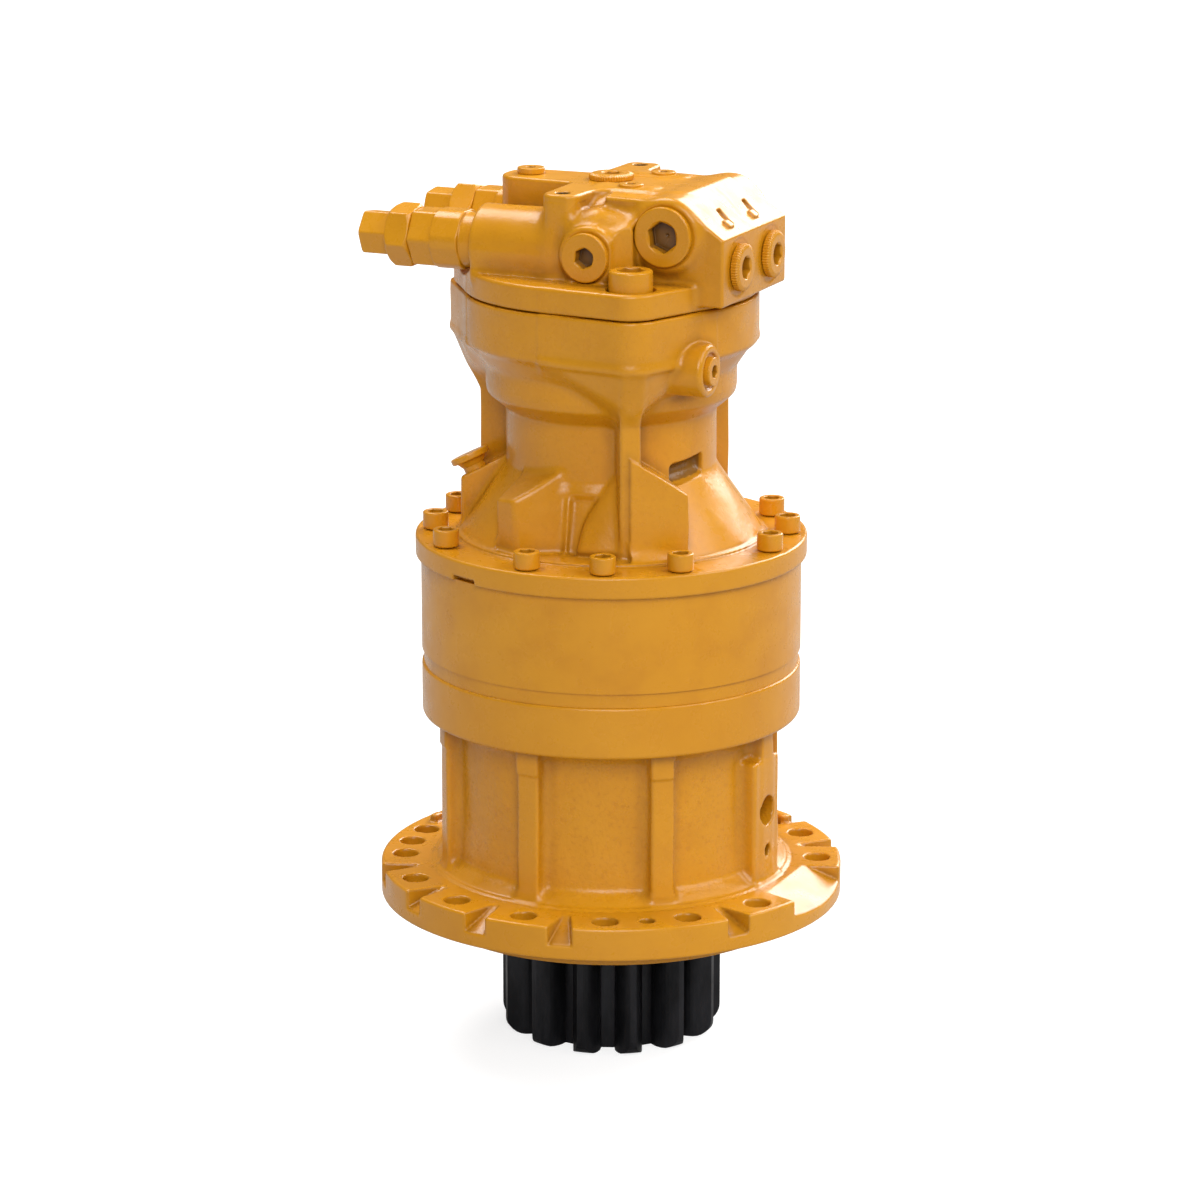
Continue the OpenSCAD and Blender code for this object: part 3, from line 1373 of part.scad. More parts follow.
module brake_piston() {
    color(dark_steel) difference() {
        union() {
            disc(piston_low_r, brake_piston_h, brake_z);
            disc(brake_piston_r, brake_piston_h - brake_piston_step, brake_z + brake_piston_step);
        }
        disc(brake_piston_in_r, brake_piston_h + 2 * over, brake_z - over);
        around(spring_count, 180 / spring_count) translate([spring_circle_r, 0, brake_z + brake_piston_h - spring_cup])
            cylinder(r = spring_pocket_r, h = spring_cup + over, $fn = small_fn);
    }
}

module brake_springs() {
    z0 = brake_z + brake_piston_h - spring_cup + spring_foot;
    color(dark_steel) around(spring_count, 180 / spring_count) translate([spring_circle_r, 0, z0])
        coil(spring_r, spring_wire_r, spring_turns, joint_z + spring_pocket_up - spring_foot - z0);
}

// Relief valve parts, drawn along +Z away from the boss face and laid along -X
module relief_place() {
    for (s = [-1, 1]) translate([relief_boss_x, s * relief_y, relief_z]) rotate([0, -90, 0]) children();
}

module relief_valve_bodies() {
    r = relief_d / 2;
    color(paint) relief_place() difference() {
        union() {
            translate([0, 0, -relief_thread_l]) cylinder(r = relief_thread_r, h = relief_thread_l + over, $fn = round_fn);
            cylinder(r1 = relief_neck_r, r2 = relief_neck_r + over, h = relief_neck_l, $fn = round_fn);
            translate([0, 0, relief_neck_l]) intersection() {
                cylinder(r = r, h = relief_body_l, $fn = round_fn);
                union() {
                    cylinder(r = r, h = relief_body_l - relief_flat_l, $fn = round_fn);
                    hex_prism(relief_nut_af, relief_body_l);
                }
            }
            translate([0, 0, relief_neck_l + relief_body_l - over])
                cylinder(r = relief_stem_r, h = relief_nut_l + relief_cap_l / 2 + over, $fn = small_fn);
        }
        translate([0, 0, -relief_thread_l - over]) cylinder(r = relief_stem_r / 2, h = relief_thread_l, $fn = small_fn);
    }
}

module relief_lock_nuts() {
    color(paint) relief_place() translate([0, 0, relief_neck_l + relief_body_l]) difference() {
        turned_hex(relief_nut_af + 2 * over, relief_nut_l);
        translate([0, 0, -over]) cylinder(r = relief_stem_r + fit_gap, h = relief_nut_l + 2 * over, $fn = small_fn);
    }
}

module relief_caps() {
    color(paint) relief_place() translate([0, 0, relief_neck_l + relief_body_l + relief_nut_l]) difference() {
        turned_hex(relief_cap_af, relief_cap_l);
        translate([0, 0, -over]) cylinder(r = relief_stem_r + fit_gap, h = relief_cap_l / 2 + 2 * over, $fn = small_fn);
    }
}

module port_plugs() {
    color(paint) for (s = [-1, 1]) translate([port_face_x, s * port_y, port_z]) along_x()
        knurled_plug(port_plug_r, port_plug_t, port_plug_thread_r, port_plug_l, port_plug_af);
}

module large_side_plugs() {
    color(paint) for (s = [-1, 1]) translate([side_plug_x, s * side_plug_y, side_plug_z]) along_y(s)
        socket_plug(side_plug_r, side_plug_t, side_plug_thread_r, side_plug_l, side_plug_af);
}

module small_side_plugs() {
    color(paint) for (s = [-1, 1]) translate([small_plug_x, s * small_plug_y, small_plug_z]) along_y(s)
        socket_plug(small_plug_r, small_plug_t, small_plug_thread_r, small_plug_l, small_plug_af);
}

module centre_plug() {
    color(paint) translate([0, 0, top_z])
        knurled_plug(centre_plug_r, centre_plug_t, centre_plug_thread_r, centre_plug_l, centre_plug_af);
}

module small_top_plugs() {
    color(paint) {
        translate([-nose_x, 0, top_z])
            socket_plug(top_plug_r, top_plug_t, top_plug_thread_r, top_plug_l, top_plug_af);
        for (s = [-1, 1]) translate([top_pair_x, s * top_pair_y, top_z])
            socket_plug(top_pair_r, top_plug_t / 2, top_plug_thread_r, top_plug_l, top_plug_af);
    }
}

// Make-up check valve: poppet on its seat and spring up to the plug
module check_place(s) {
    translate([side_plug_x, 0, side_plug_z]) along_y(s) children();
}

module check_poppet(s) {
    color(steel) check_place(s) translate([0, 0, check_seat_y + face_gap / 2]) difference() {
        union() {
            cylinder(r = check_r, h = check_l, $fn = small_fn);
            translate([0, 0, -check_l / 3]) cylinder(r1 = check_nose_r / 2, r2 = check_nose_r - face_gap,
                h = check_l / 3 + over / 10, $fn = small_fn);
        }
        translate([0, 0, check_l / 2]) cylinder(r = check_spring_r + check_spring_wire + over / 2, h = check_l, $fn = small_fn);
    }
}
module check_poppet_front() { check_poppet(-1); }
module check_poppet_rear() { check_poppet(1); }

module check_spring(s) {
    z0 = check_seat_y + face_gap / 2 + check_l / 2 + spring_foot;
    color(dark_steel) check_place(s) translate([0, 0, z0])
        coil(check_spring_r, check_spring_wire, check_spring_turns, side_plug_y - side_plug_l - spring_foot - z0);
}
module check_spring_front() { check_spring(-1); }
module check_spring_rear() { check_spring(1); }

module brake_port_plug() {
    color(paint) translate([brake_port_x - brake_plug_sink, brake_port_y, brake_port_z]) along_x()
        socket_plug(brake_plug_r, brake_plug_sink + brake_plug_proud, brake_thread_r, brake_thread_l, screw_socket_af - 2 * over);
}

module filler_cap() {
    color(paint) filler_place() difference() {
        union() {
            translate([0, 0, -filler_stem_l + over]) cylinder(r = filler_stem_r, h = filler_stem_l + filler_stand, $fn = small_fn);
            translate([0, 0, filler_stand]) cylinder(r1 = filler_stem_r + over, r2 = filler_cap_r - over, h = filler_cap_t / 2, $fn = small_fn);
            translate([0, 0, filler_stand + filler_cap_t / 2]) cylinder(r = filler_cap_r, h = filler_cap_t, $fn = small_fn);
        }
        translate([0, 0, -filler_stem_l]) cylinder(r = filler_stem_r / 2, h = filler_stem_l, $fn = small_fn);
    }
}

module joint_o_rings() {
    color(black_rubber) {
        for (p = [[ring_cord_r, housing_top - cord_sit], [ring_cord_r, ring_top + cord_sit],
                  [cover_cord_r, joint_z - cord_sit]])
            rotate_extrude($fn = round_fn) translate(p) circle(r = cord_sit - fit_gap, $fn = small_fn);
    }
}

gearbox_housing();
ring_gear();
motor_casing();
valve_cover();
flange_screws();
cover_screws();
seal_cover();
seal_cover_screws();
pinion_oil_seal();
output_bearing_outers();
output_bearing_rollers();
output_bearing_inners();
pinion_shaft();
bearing_nut();
carrier_2();
planet_pins_2();
pin_bushes_2();
thrust_washers_2();
planet_2a();
planet_2b();
planet_2c();
sun_2();
carrier_1();
planet_pins_1();
thrust_washers_1();
planet_1a();
planet_1b();
planet_1c();
sun_1();
drive_shaft();
shaft_seal();
shaft_bearing_outers();
shaft_bearing_balls();
shaft_bearing_inners();
swash_plate();
slippers();
retainer_plate();
retainer_ball();
pistons();
cylinder_block();
valve_plate();
friction_discs();
separator_plates();
brake_piston();
brake_springs();
relief_valve_bodies();
relief_lock_nuts();
relief_caps();
port_plugs();
large_side_plugs();
small_side_plugs();
centre_plug();
small_top_plugs();
check_poppet_front();
check_poppet_rear();
check_spring_front();
check_spring_rear();
brake_port_plug();
filler_cap();
joint_o_rings();
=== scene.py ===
import json
import math

import bpy
import numpy as np
import openvdb as vdb
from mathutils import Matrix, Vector


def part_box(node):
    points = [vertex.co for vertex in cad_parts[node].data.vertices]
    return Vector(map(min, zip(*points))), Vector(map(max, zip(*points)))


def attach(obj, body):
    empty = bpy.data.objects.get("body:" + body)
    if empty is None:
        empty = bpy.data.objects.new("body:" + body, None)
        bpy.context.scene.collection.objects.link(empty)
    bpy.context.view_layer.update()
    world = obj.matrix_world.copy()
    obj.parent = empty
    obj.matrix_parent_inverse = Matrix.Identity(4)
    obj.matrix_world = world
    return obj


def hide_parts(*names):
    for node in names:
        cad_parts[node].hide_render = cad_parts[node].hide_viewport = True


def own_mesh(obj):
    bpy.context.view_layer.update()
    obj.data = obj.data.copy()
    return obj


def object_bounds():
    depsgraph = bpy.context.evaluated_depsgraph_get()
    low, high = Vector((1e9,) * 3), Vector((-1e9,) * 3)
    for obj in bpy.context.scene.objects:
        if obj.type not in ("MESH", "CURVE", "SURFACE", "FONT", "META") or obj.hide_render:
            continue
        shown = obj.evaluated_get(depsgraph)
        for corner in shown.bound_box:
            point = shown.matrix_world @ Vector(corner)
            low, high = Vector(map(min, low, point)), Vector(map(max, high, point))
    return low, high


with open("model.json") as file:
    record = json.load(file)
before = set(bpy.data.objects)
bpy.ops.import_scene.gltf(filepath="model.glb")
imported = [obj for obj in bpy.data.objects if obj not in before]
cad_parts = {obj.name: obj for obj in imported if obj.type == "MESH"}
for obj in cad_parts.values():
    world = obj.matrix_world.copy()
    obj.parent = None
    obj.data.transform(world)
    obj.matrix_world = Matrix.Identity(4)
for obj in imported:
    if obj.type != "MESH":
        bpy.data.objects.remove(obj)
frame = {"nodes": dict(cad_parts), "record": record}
cad_box = [[float(v) for v in p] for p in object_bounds()]
F = np.float32
MM = 0.001

# Sizes and places that pieces share, in millimetres and degrees


def reach(node, end, axis):
    """Where a CAD node ends, to 0.1 mm: end 0 is low and 1 high, axis 0 to 2 is x to z."""
    return round(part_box(node)[end][axis] / MM, 1)


HOUSING_LOW = reach("gearbox_housing", 0, 2)
HOUSING_TOP = reach("gearbox_housing", 1, 2)
FLANGE_R = reach("gearbox_housing", 1, 0)
CASING_LOW = reach("motor_casing", 0, 2)
CASING_R = reach("motor_casing", 1, 0)
JOINT_Z = reach("motor_casing", 1, 2)
FLANGE_TOP = 23.5
BAND_R = reach("ring_gear", 1, 0)
RIB_COUNT = 8
RIB_PHASE = -4
CLAMP_HEAD = 12
CLAMP_SEAT = reach("flange_screws", 1, 2) - CLAMP_HEAD
CLAMP_CIRCLE = 123.4
# The angle of each clamp screw and the turn of its socket
CLAMP_SCREWS = [(21.4 + 90 * g + 25 * s, 37 * (g + 2 * s)) for g in range(4) for s in (-1, 0, 1)]
CLAMP_R = 6
NECK_R = 73.2
BARREL_R = 102
LOBES = (-58.4, 60, 180)
LOBE_CIRCLE = 99
LOBE_R = 22.5
LOBE_TANGENT = 36.6
CASING_RIM = JOINT_Z - 0.4
COVER_LOW = JOINT_Z + 0.6
COVER_HEAD = 20
COVER_SEAT = reach("cover_screws", 1, 2) - COVER_HEAD
COVER_SCREW_R = 10
COVER_TOP = 511
BRAKE_PORT = (98, -55, 395)
FILLER_LEAN = 26
FILLER_HEIGHT = 303.8
RELIEF = (-74, 50, 471)
PORT = (reach("valve_cover", 1, 0), 28, 462.4)
LARGE_PLUG = (66, 61, 485.5)
SMALL_PLUG = (18, 82, 471.3)
LIFT_X, LIFT_Y = -7, 65
TOP_PLUG = (27, 28, COVER_TOP)
NOSE_PLUG_X = -61


def polar(r, deg):
    """The x and y of a point by its radius and angle."""
    return r * math.cos(math.radians(deg)), r * math.sin(math.radians(deg))


def sided(point, s):
    """A point on side s, -1 or 1, of the middle plane."""
    return point[0], s * point[1], point[2]


# Outlines

def rounded(points):
    """Points of an outline given as (x, y, radius): each corner becomes an arc of its radius."""
    out = []
    n = len(points)
    for i in range(n):
        x, y, r = points[i]
        p = np.array([x, y], float)
        a = np.array(points[i - 1][:2], float) - p
        b = np.array(points[(i + 1) % n][:2], float) - p
        la, lb = np.linalg.norm(a), np.linalg.norm(b)
        if r <= 0 or la < 1e-6 or lb < 1e-6:
            out.append((x, y))
            continue
        a, b = a / la, b / lb
        half = math.acos(float(np.clip(a @ b, -1, 1))) / 2
        if half > math.pi / 2 - 0.01 or half < 0.01:
            out.append((x, y))
            continue
        t = min(r / math.tan(half), 0.49 * la, 0.49 * lb)
        r = t * math.tan(half)
        mid = (a + b) / np.linalg.norm(a + b)
        centre = p + mid * r / math.sin(half)
        p0, p1 = p + a * t, p + b * t
        a0 = math.atan2(*(p0 - centre)[::-1])
        a1 = math.atan2(*(p1 - centre)[::-1])
        d = (a1 - a0 + math.pi) % (2 * math.pi) - math.pi
        steps = max(2, int(abs(d) / 0.2) + 1)
        for k in range(steps + 1):
            g = a0 + d * k / steps
            out.append((centre[0] + r * math.cos(g), centre[1] + r * math.sin(g)))
    return out


def outline_distance(px, py, pts):
    """Signed distance from a closed outline, negative inside."""
    best = np.full(np.broadcast(px, py).shape, 1e9, F)
    inside = np.zeros(best.shape, bool)
    pts = np.asarray(pts, F)
    for a, b in zip(pts, np.roll(pts, -1, 0)):
        e = b - a
        ee = float(e @ e)
        if ee < 1e-9:
            continue
        wx, wy = px - a[0], py - a[1]
        t = np.clip((wx * e[0] + wy * e[1]) / ee, 0, 1)
        best = np.minimum(best, (wx - e[0] * t) ** 2 + (wy - e[1] * t) ** 2)
        if a[1] != b[1]:
            inside ^= ((a[1] > py) != (b[1] > py)) & (px < e[0] * (py - a[1]) / e[1] + a[0])
    return np.where(inside, -1, 1).astype(F) * np.sqrt(best)


# Distance fields

def soft_min(a, b, k):
    """Union of two distances, blended over a width of k."""
    if k <= 0:
        return np.minimum(a, b)
    h = np.maximum(k - np.abs(a - b), 0)
    return np.minimum(a, b) - h * h * F(0.25 / k)


def round_both(u, v, r):
    """Intersection of two distances with a rounded edge of radius r."""
    if r <= 0:
        return np.maximum(u, v)
    return np.minimum(np.maximum(u, v), -F(r)) + np.sqrt(
        np.maximum(u + r, 0) ** 2 + np.maximum(v + r, 0) ** 2)


class Clay:
    """A solid kept as signed distances in millimetres on a grid: forms are added, cut and kept."""

    def __init__(self, lo, hi, h):
        self.h = h
        self.axes = [np.arange(lo[i] - 4 * h, hi[i] + 5 * h, h, dtype=F) for i in range(3)]
        self.f = np.full([len(a) for a in self.axes], 60, F)

    def window(self, lo, hi):
        """The part of the grid between two corners, or all of it, as slices and as coordinates."""
        cut, grid = [], []
        for i in range(3):
            a = self.axes[i]
            i0, i1 = 0, len(a)
            if lo is not None:
                i0 = max(0, int(np.searchsorted(a, lo[i])) - 1)
                i1 = min(len(a), int(np.searchsorted(a, hi[i])) + 1)
            shape = [1, 1, 1]
            shape[i] = i1 - i0
            cut.append(slice(i0, i1))
            grid.append(a[i0:i1].reshape(shape))
        return tuple(cut), grid

    def add(self, form, k=0.0, lo=None, hi=None):
        """Joins a form on, blended over a width of k, between two corners."""
        w, g = self.window(lo, hi)
        self.f[w] = soft_min(self.f[w], form(*g), F(k))

    def cut(self, form, k=0.0, lo=None, hi=None):
        """Takes a form away, blended as in add."""
        w, g = self.window(lo, hi)
        self.f[w] = -soft_min(-self.f[w], form(*g), F(k))

    def keep(self, form):
        """Leaves only what lies inside a form."""
        w, g = self.window(None, None)
        self.f[w] = -soft_min(-self.f[w], -form(*g), F(0))

    def revolve(self, profile):
        """Adds a body turned about the Z axis. profile is (r, z, corner radius) points."""
        pts = rounded(profile)
        x, y, z = self.axes
        r = np.sqrt(x[:, None] ** 2 + y[None, :] ** 2)
        step = F(0.5)
        rs = np.arange(0, float(r.max()) + 2, step, dtype=F)
        table = outline_distance(rs[:, None], z[None, :], pts)
        i = np.minimum((r / step).astype(np.int32), len(rs) - 2)
        w = (r / step - i).astype(F)[:, :, None]
        d = table[i] * (1 - w) + table[i + 1] * w
        self.f = soft_min(self.f, d, F(0))

    def roughen(self, wave, low, high, least_r=0.0):
        """Adds a cast unevenness between two heights, outside a radius."""
        _, (x, y, z) = self.window(None, None)
        here = ((z > low) & (z < high)).astype(F)
        outside = (np.sqrt(x * x + y * y) > least_r).astype(F) if least_r else F(1)
        self.f += wave(x, y, z) * here * outside

    def at(self, p):
        """Distances at points p (n, 3), in millimetres."""
        q = np.stack([(p[:, i] - self.axes[i][0]) / self.h for i in range(3)], 1)
        lim = np.array(self.f.shape) - 2
        i = np.clip(np.floor(q).astype(np.int64), 0, lim)
        t = np.clip(q - i, 0, 1)
        out = np.linalg.norm(q - np.clip(q, 0, lim + 1), axis=1) * self.h
        for a in (0, 1):
            for b in (0, 1):
                for c in (0, 1):
                    w = (t[:, 0] if a else 1 - t[:, 0]) * (t[:, 1] if b else 1 - t[:, 1]) * (
                        t[:, 2] if c else 1 - t[:, 2])
                    out += w * self.f[i[:, 0] + a, i[:, 1] + b, i[:, 2] + c]
        return out

    def surface(self):
        """(points, triangles, quads, normals, openness) of the surface, in millimetres."""
        band = F(3 * self.h)
        g = vdb.FloatGrid(float(band))
        g.copyFromArray(np.ascontiguousarray(np.clip(self.f, -band, band)))
        pts, tris, quads = g.convertToPolygons(isovalue=0.0, adaptivity=0.0)
        origin = np.array([a[0] for a in self.axes])
        p = np.asarray(pts, np.float64) * self.h + origin
        tris = np.asarray(tris, np.int64).reshape(-1, 3)
        quads = np.asarray(quads, np.int64).reshape(-1, 4)
        # Pull each point onto the surface along the gradient
        for _ in range(2):
            n = self.slope(p)
            d = np.clip(self.at(p), -self.h, self.h)
            p = p - n * d[:, None] * 0.8
        n = self.slope(p)
        # The faces' own direction decides their order
        f = tris if len(tris) > len(quads) else quads
        fn = np.cross(p[f[:, 1]] - p[f[:, 0]], p[f[:, 2]] - p[f[:, 0]])
        if np.sum(fn * n[f[:, 0]]) < 0:
            tris, quads = tris[:, ::-1], quads[:, ::-1]
        # How open each point is: the paint darkens the less open points as painted shade
        openness = np.zeros(len(p))
        for d in (3.0, 7.0, 15.0):
            openness += np.clip(self.at(p + n * d) / d, 0, 1) / 3
        return p, tris, quads, n, openness

    def slope(self, p):
        """Outward directions at points p."""
        e = self.h * 0.6
        n = np.stack([self.at(p + e * v) - self.at(p - e * v) for v in np.eye(3)], 1)
        return n / np.maximum(np.linalg.norm(n, axis=1, keepdims=True), 1e-9)


def near(x, y, half, z0, z1):
    """Two corners round an upright line: half a width to each side, from z0 to z1."""
    return (x - half, y - half, z0), (x + half, y + half, z1)


def drill(clay, circle, angle, r, z0, z1, k, window):
    """Cuts an upright hole whose centre is on a circle. window is its half width, bottom and top."""
    x, y = polar(circle, angle)
    clay.cut(post(r, z0, z1, 0, x, y), k, *near(x, y, *window))


def axes_about(axis):
    """Three directions, the last along axis."""
    z = np.array(axis, float)
    z /= np.linalg.norm(z)
    up = np.array([0.0, 0, 1]) if abs(z[2]) < 0.9 else np.array([1.0, 0, 0])
    x = np.cross(up, z)
    x /= np.linalg.norm(x)
    return x, np.cross(z, x), z


def turned(p, axis, form):
    """A form drawn about its own +Z at the origin, moved to a point and an axis."""
    directions = axes_about(axis)

    def moved(X, Y, Z):
        a, b, c = X - F(p[0]), Y - F(p[1]), Z - F(p[2])
        return form(*(a * F(v[0]) + b * F(v[1]) + c * F(v[2]) for v in directions))
    return moved


def spun(deg, form):
    """A form turned about the Z axis by an angle."""
    c, s = F(math.cos(math.radians(deg))), F(math.sin(math.radians(deg)))
    return lambda X, Y, Z: form(X * c + Y * s, Y * c - X * s, Z)


def layer(v, v0, v1):
    """Distance from the space between two levels."""
    return np.abs(v - F((v0 + v1) / 2)) - F((v1 - v0) / 2)


def post(r, z0, z1, edge=0.0, cx=0.0, cy=0.0):
    """An upright cylinder."""
    return lambda X, Y, Z: round_both(
        np.sqrt((X - F(cx)) ** 2 + (Y - F(cy)) ** 2) - F(r), layer(Z, z0, z1), edge)


def cone(r0, r1, z0, z1, edge=0.0):
    """A cone or taper from radius r0 at z0 to r1 at z1."""
    k = (r1 - r0) / (z1 - z0)
    s = 1 / math.hypot(1, k)
    return lambda X, Y, Z: round_both(
        (np.sqrt(X ** 2 + Y ** 2) - F(r0) - (Z - F(z0)) * F(k)) * F(s), layer(Z, z0, z1), edge)


def ball(x, y, z, r):
    """A ball round a point."""
    return lambda X, Y, Z: np.sqrt((X - F(x)) ** 2 + (Y - F(y)) ** 2 + (Z - F(z)) ** 2) - F(r)


def block(lo, hi, edge=0.0):
    """A box with rounded edges."""
    c = [(a + b) / 2 for a, b in zip(lo, hi)]
    h = [(b - a) / 2 - edge for a, b in zip(lo, hi)]

    def form(X, Y, Z):
        x, y, z = [np.abs(v - F(c[i])) - F(h[i]) for i, v in enumerate((X, Y, Z))]
        out = np.sqrt(sum(np.maximum(v, 0) ** 2 for v in (x, y, z)))
        return out + np.minimum(np.maximum(np.maximum(x, y), z), 0) - F(edge)
    return form


def prism(points, z0, z1, edge=0.0):
    """An outline of (x, y, corner radius) points, raised from z0 to z1."""
    pts = rounded(points)
    return lambda X, Y, Z: round_both(outline_distance(X, Y, pts), layer(Z, z0, z1), edge)


def side_prism(points, y0, y1, edge=0.0):
    """An outline of (x, z, corner radius) points, drawn out from y0 to y1."""
    pts = rounded(points)
    return lambda X, Y, Z: round_both(outline_distance(X, Z, pts), layer(Y, y0, y1), edge)


def both(a, b, edge=0.0):
    """What two forms share."""
    return lambda X, Y, Z: round_both(a(X, Y, Z), b(X, Y, Z), edge)


def facets(faces, edge=0.0):
    """A solid bounded by planes, each given as a point and an outward direction."""
    flat = []
    for p, n in faces:
        n = np.array(n, float) / np.linalg.norm(n)
        flat.append((*n, float(n @ np.array(p, float))))

    def form(X, Y, Z):
        d = None
        for a, b, c, w in flat:
            v = X * F(a) + Y * F(b) + Z * F(c) - F(w)
            d = v if d is None else round_both(d, v, edge)
        return d
    return form


def hexagon(af, z0, z1, edge=0.0, turn=0.0):
    """A hexagon prism by its width across flats."""
    dirs = [polar(1, turn + 60 * i) for i in range(3)]

    def form(X, Y, Z):
        d = None
        for c, s in dirs:
            v = np.abs(X * F(c) + Y * F(s)) - F(af / 2)
            d = v if d is None else round_both(d, v, edge)
        return round_both(d, layer(Z, z0, z1), edge)
    return form


def waves(seed, size, amount):
    """A gentle unevenness of a cast face."""
    rng = np.random.default_rng(seed)
    terms = [(rng.normal(size=3) * 2 * math.pi / size, rng.uniform(0, 6.28, 3)) for _ in range(4)]

    def form(X, Y, Z):
        d = 0
        for k, p in terms:
            a, b, c = (np.sin(v * F(k[i]) + F(p[i])) for i, v in enumerate((X, Y, Z)))
            d = d + a * b * c
        return d * F(amount)
    return form


# Meshes

def new_object(name, data):
    """An object linked to the scene."""
    ob = bpy.data.objects.new(name, data)
    bpy.context.scene.collection.objects.link(ob)
    return ob


def make_mesh(name, surface, values, body, nodes, material):
    """A piece that rides on a body and stands for CAD nodes. values are its point attributes."""
    p, tris, quads, normals = surface
    mesh = bpy.data.meshes.new(name)
    nt, nq = len(tris), len(quads)
    mesh.vertices.add(len(p))
    mesh.vertices.foreach_set("co", (p * MM).astype(F).ravel())
    mesh.loops.add(nt * 3 + nq * 4)
    corners = np.concatenate([tris.ravel(), quads.ravel()]).astype(np.int32)
    mesh.loops.foreach_set("vertex_index", corners)
    mesh.polygons.add(nt + nq)
    starts = np.concatenate([np.arange(nt) * 3, nt * 3 + np.arange(nq) * 4]).astype(np.int32)
    mesh.polygons.foreach_set("loop_start", starts)
    mesh.polygons.foreach_set("use_smooth", np.ones(nt + nq, bool))
    mesh.update(calc_edges=True)
    mesh.validate()
    for key, v in values.items():
        mesh.attributes.new(key, "FLOAT", "POINT").data.foreach_set("value", np.asarray(v, F))
    mesh.normals_split_custom_set_from_vertices(normals.astype(F))
    mesh.materials.append(material)
    ob = new_object(name, mesh)
    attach(ob, body)
    if nodes:
        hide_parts(*nodes)


def cast_piece(name, clay, node, rough, bare_and_shade):
    """A casting. rough gives its cast grain at points, and the last argument gives its unpainted spots and
    its painted shade.
    """
    p, tris, quads, n, openness = clay.surface()
    values = {"open": openness, "rough": rough(p, n), "bare_and_shade": bare_and_shade(p).astype(float)}
    make_mesh(name, (p, tris, quads, n), values, "housing", [node], M["cast"])


def all_painted(p):
    """No unpainted spots at points p."""
    return np.zeros(len(p))


def shank(r, top, length):
    """A screw's plain shank with a chamfered tip: points, triangles, quads and normals."""
    sides = 32
    tip = 1.0
    turn = np.arange(sides) * 2 * math.pi / sides
    ring = np.stack([np.cos(turn), np.sin(turn), 0 * turn], 1)
    low = top - length
    levels = ((r, top, 0.0), (r, low + tip, -0.4), (r - tip, low, -1.0))
    p = [ring * (a, a, 0) + (0, 0, z) for a, z, _ in levels]
    n = [ring * (1, 1, 0) + (0, 0, lean) for _, _, lean in levels]
    p = np.concatenate(p + [[(0, 0, top), (0, 0, low)]])
    n = np.concatenate(n + [[(0, 0, 1), (0, 0, -1)]])
    n = n / np.linalg.norm(n, axis=1, keepdims=True)
    i = np.arange(sides)
    j = (i + 1) % sides
    quads = np.concatenate([np.stack([k + j, k + i, k + sides + i, k + sides + j], 1) for k in (0, sides)])
    head, foot = 3 * sides, 3 * sides + 1
    tris = np.concatenate([np.stack([i, j, i * 0 + head], 1),
                           np.stack([j + 2 * sides, i + 2 * sides, i * 0 + foot], 1)])
    return p, tris, quads, n


def copies(name, clay, places, nodes, bare_and_shade=all_painted, tail=None):
    """One small piece, with a tail where given, repeated at places: 4x4 matrices in millimetres."""
    p, tris, quads, n, openness = clay.surface()
    if tail:
        tail_p, tail_tris, tail_quads, tail_n = tail
        tris = np.concatenate([tris, tail_tris + len(p)])
        quads = np.concatenate([quads, tail_quads + len(p)])
        p, n = np.concatenate([p, tail_p]), np.concatenate([n, tail_n])
        openness = np.concatenate([openness, np.ones(len(tail_p))])
    count = len(places)
    surface = (np.concatenate([p @ m[:3, :3].T + m[:3, 3] for m in places]),
               np.concatenate([tris + i * len(p) for i in range(count)]),
               np.concatenate([quads + i * len(p) for i in range(count)]),
               np.concatenate([n @ m[:3, :3].T for m in places]))
    values = {"open": np.tile(openness, count), "rough": np.zeros(len(p) * count),
              "bare_and_shade": np.tile(bare_and_shade(p), count)}
    make_mesh(name, surface, values, "housing", nodes, M["smooth"])


def place(point, axis=(0, 0, 1), spin=0.0):
    """A matrix that puts a piece's +Z on an axis at a point."""
    x, y, z = axes_about(axis)
    c, s = math.cos(math.radians(spin)), math.sin(math.radians(spin))
    m = np.eye(4)
    m[:3, 0], m[:3, 1], m[:3, 2] = c * x + s * y, -s * x + c * y, z
    m[:3, 3] = point
    return m


# Materials

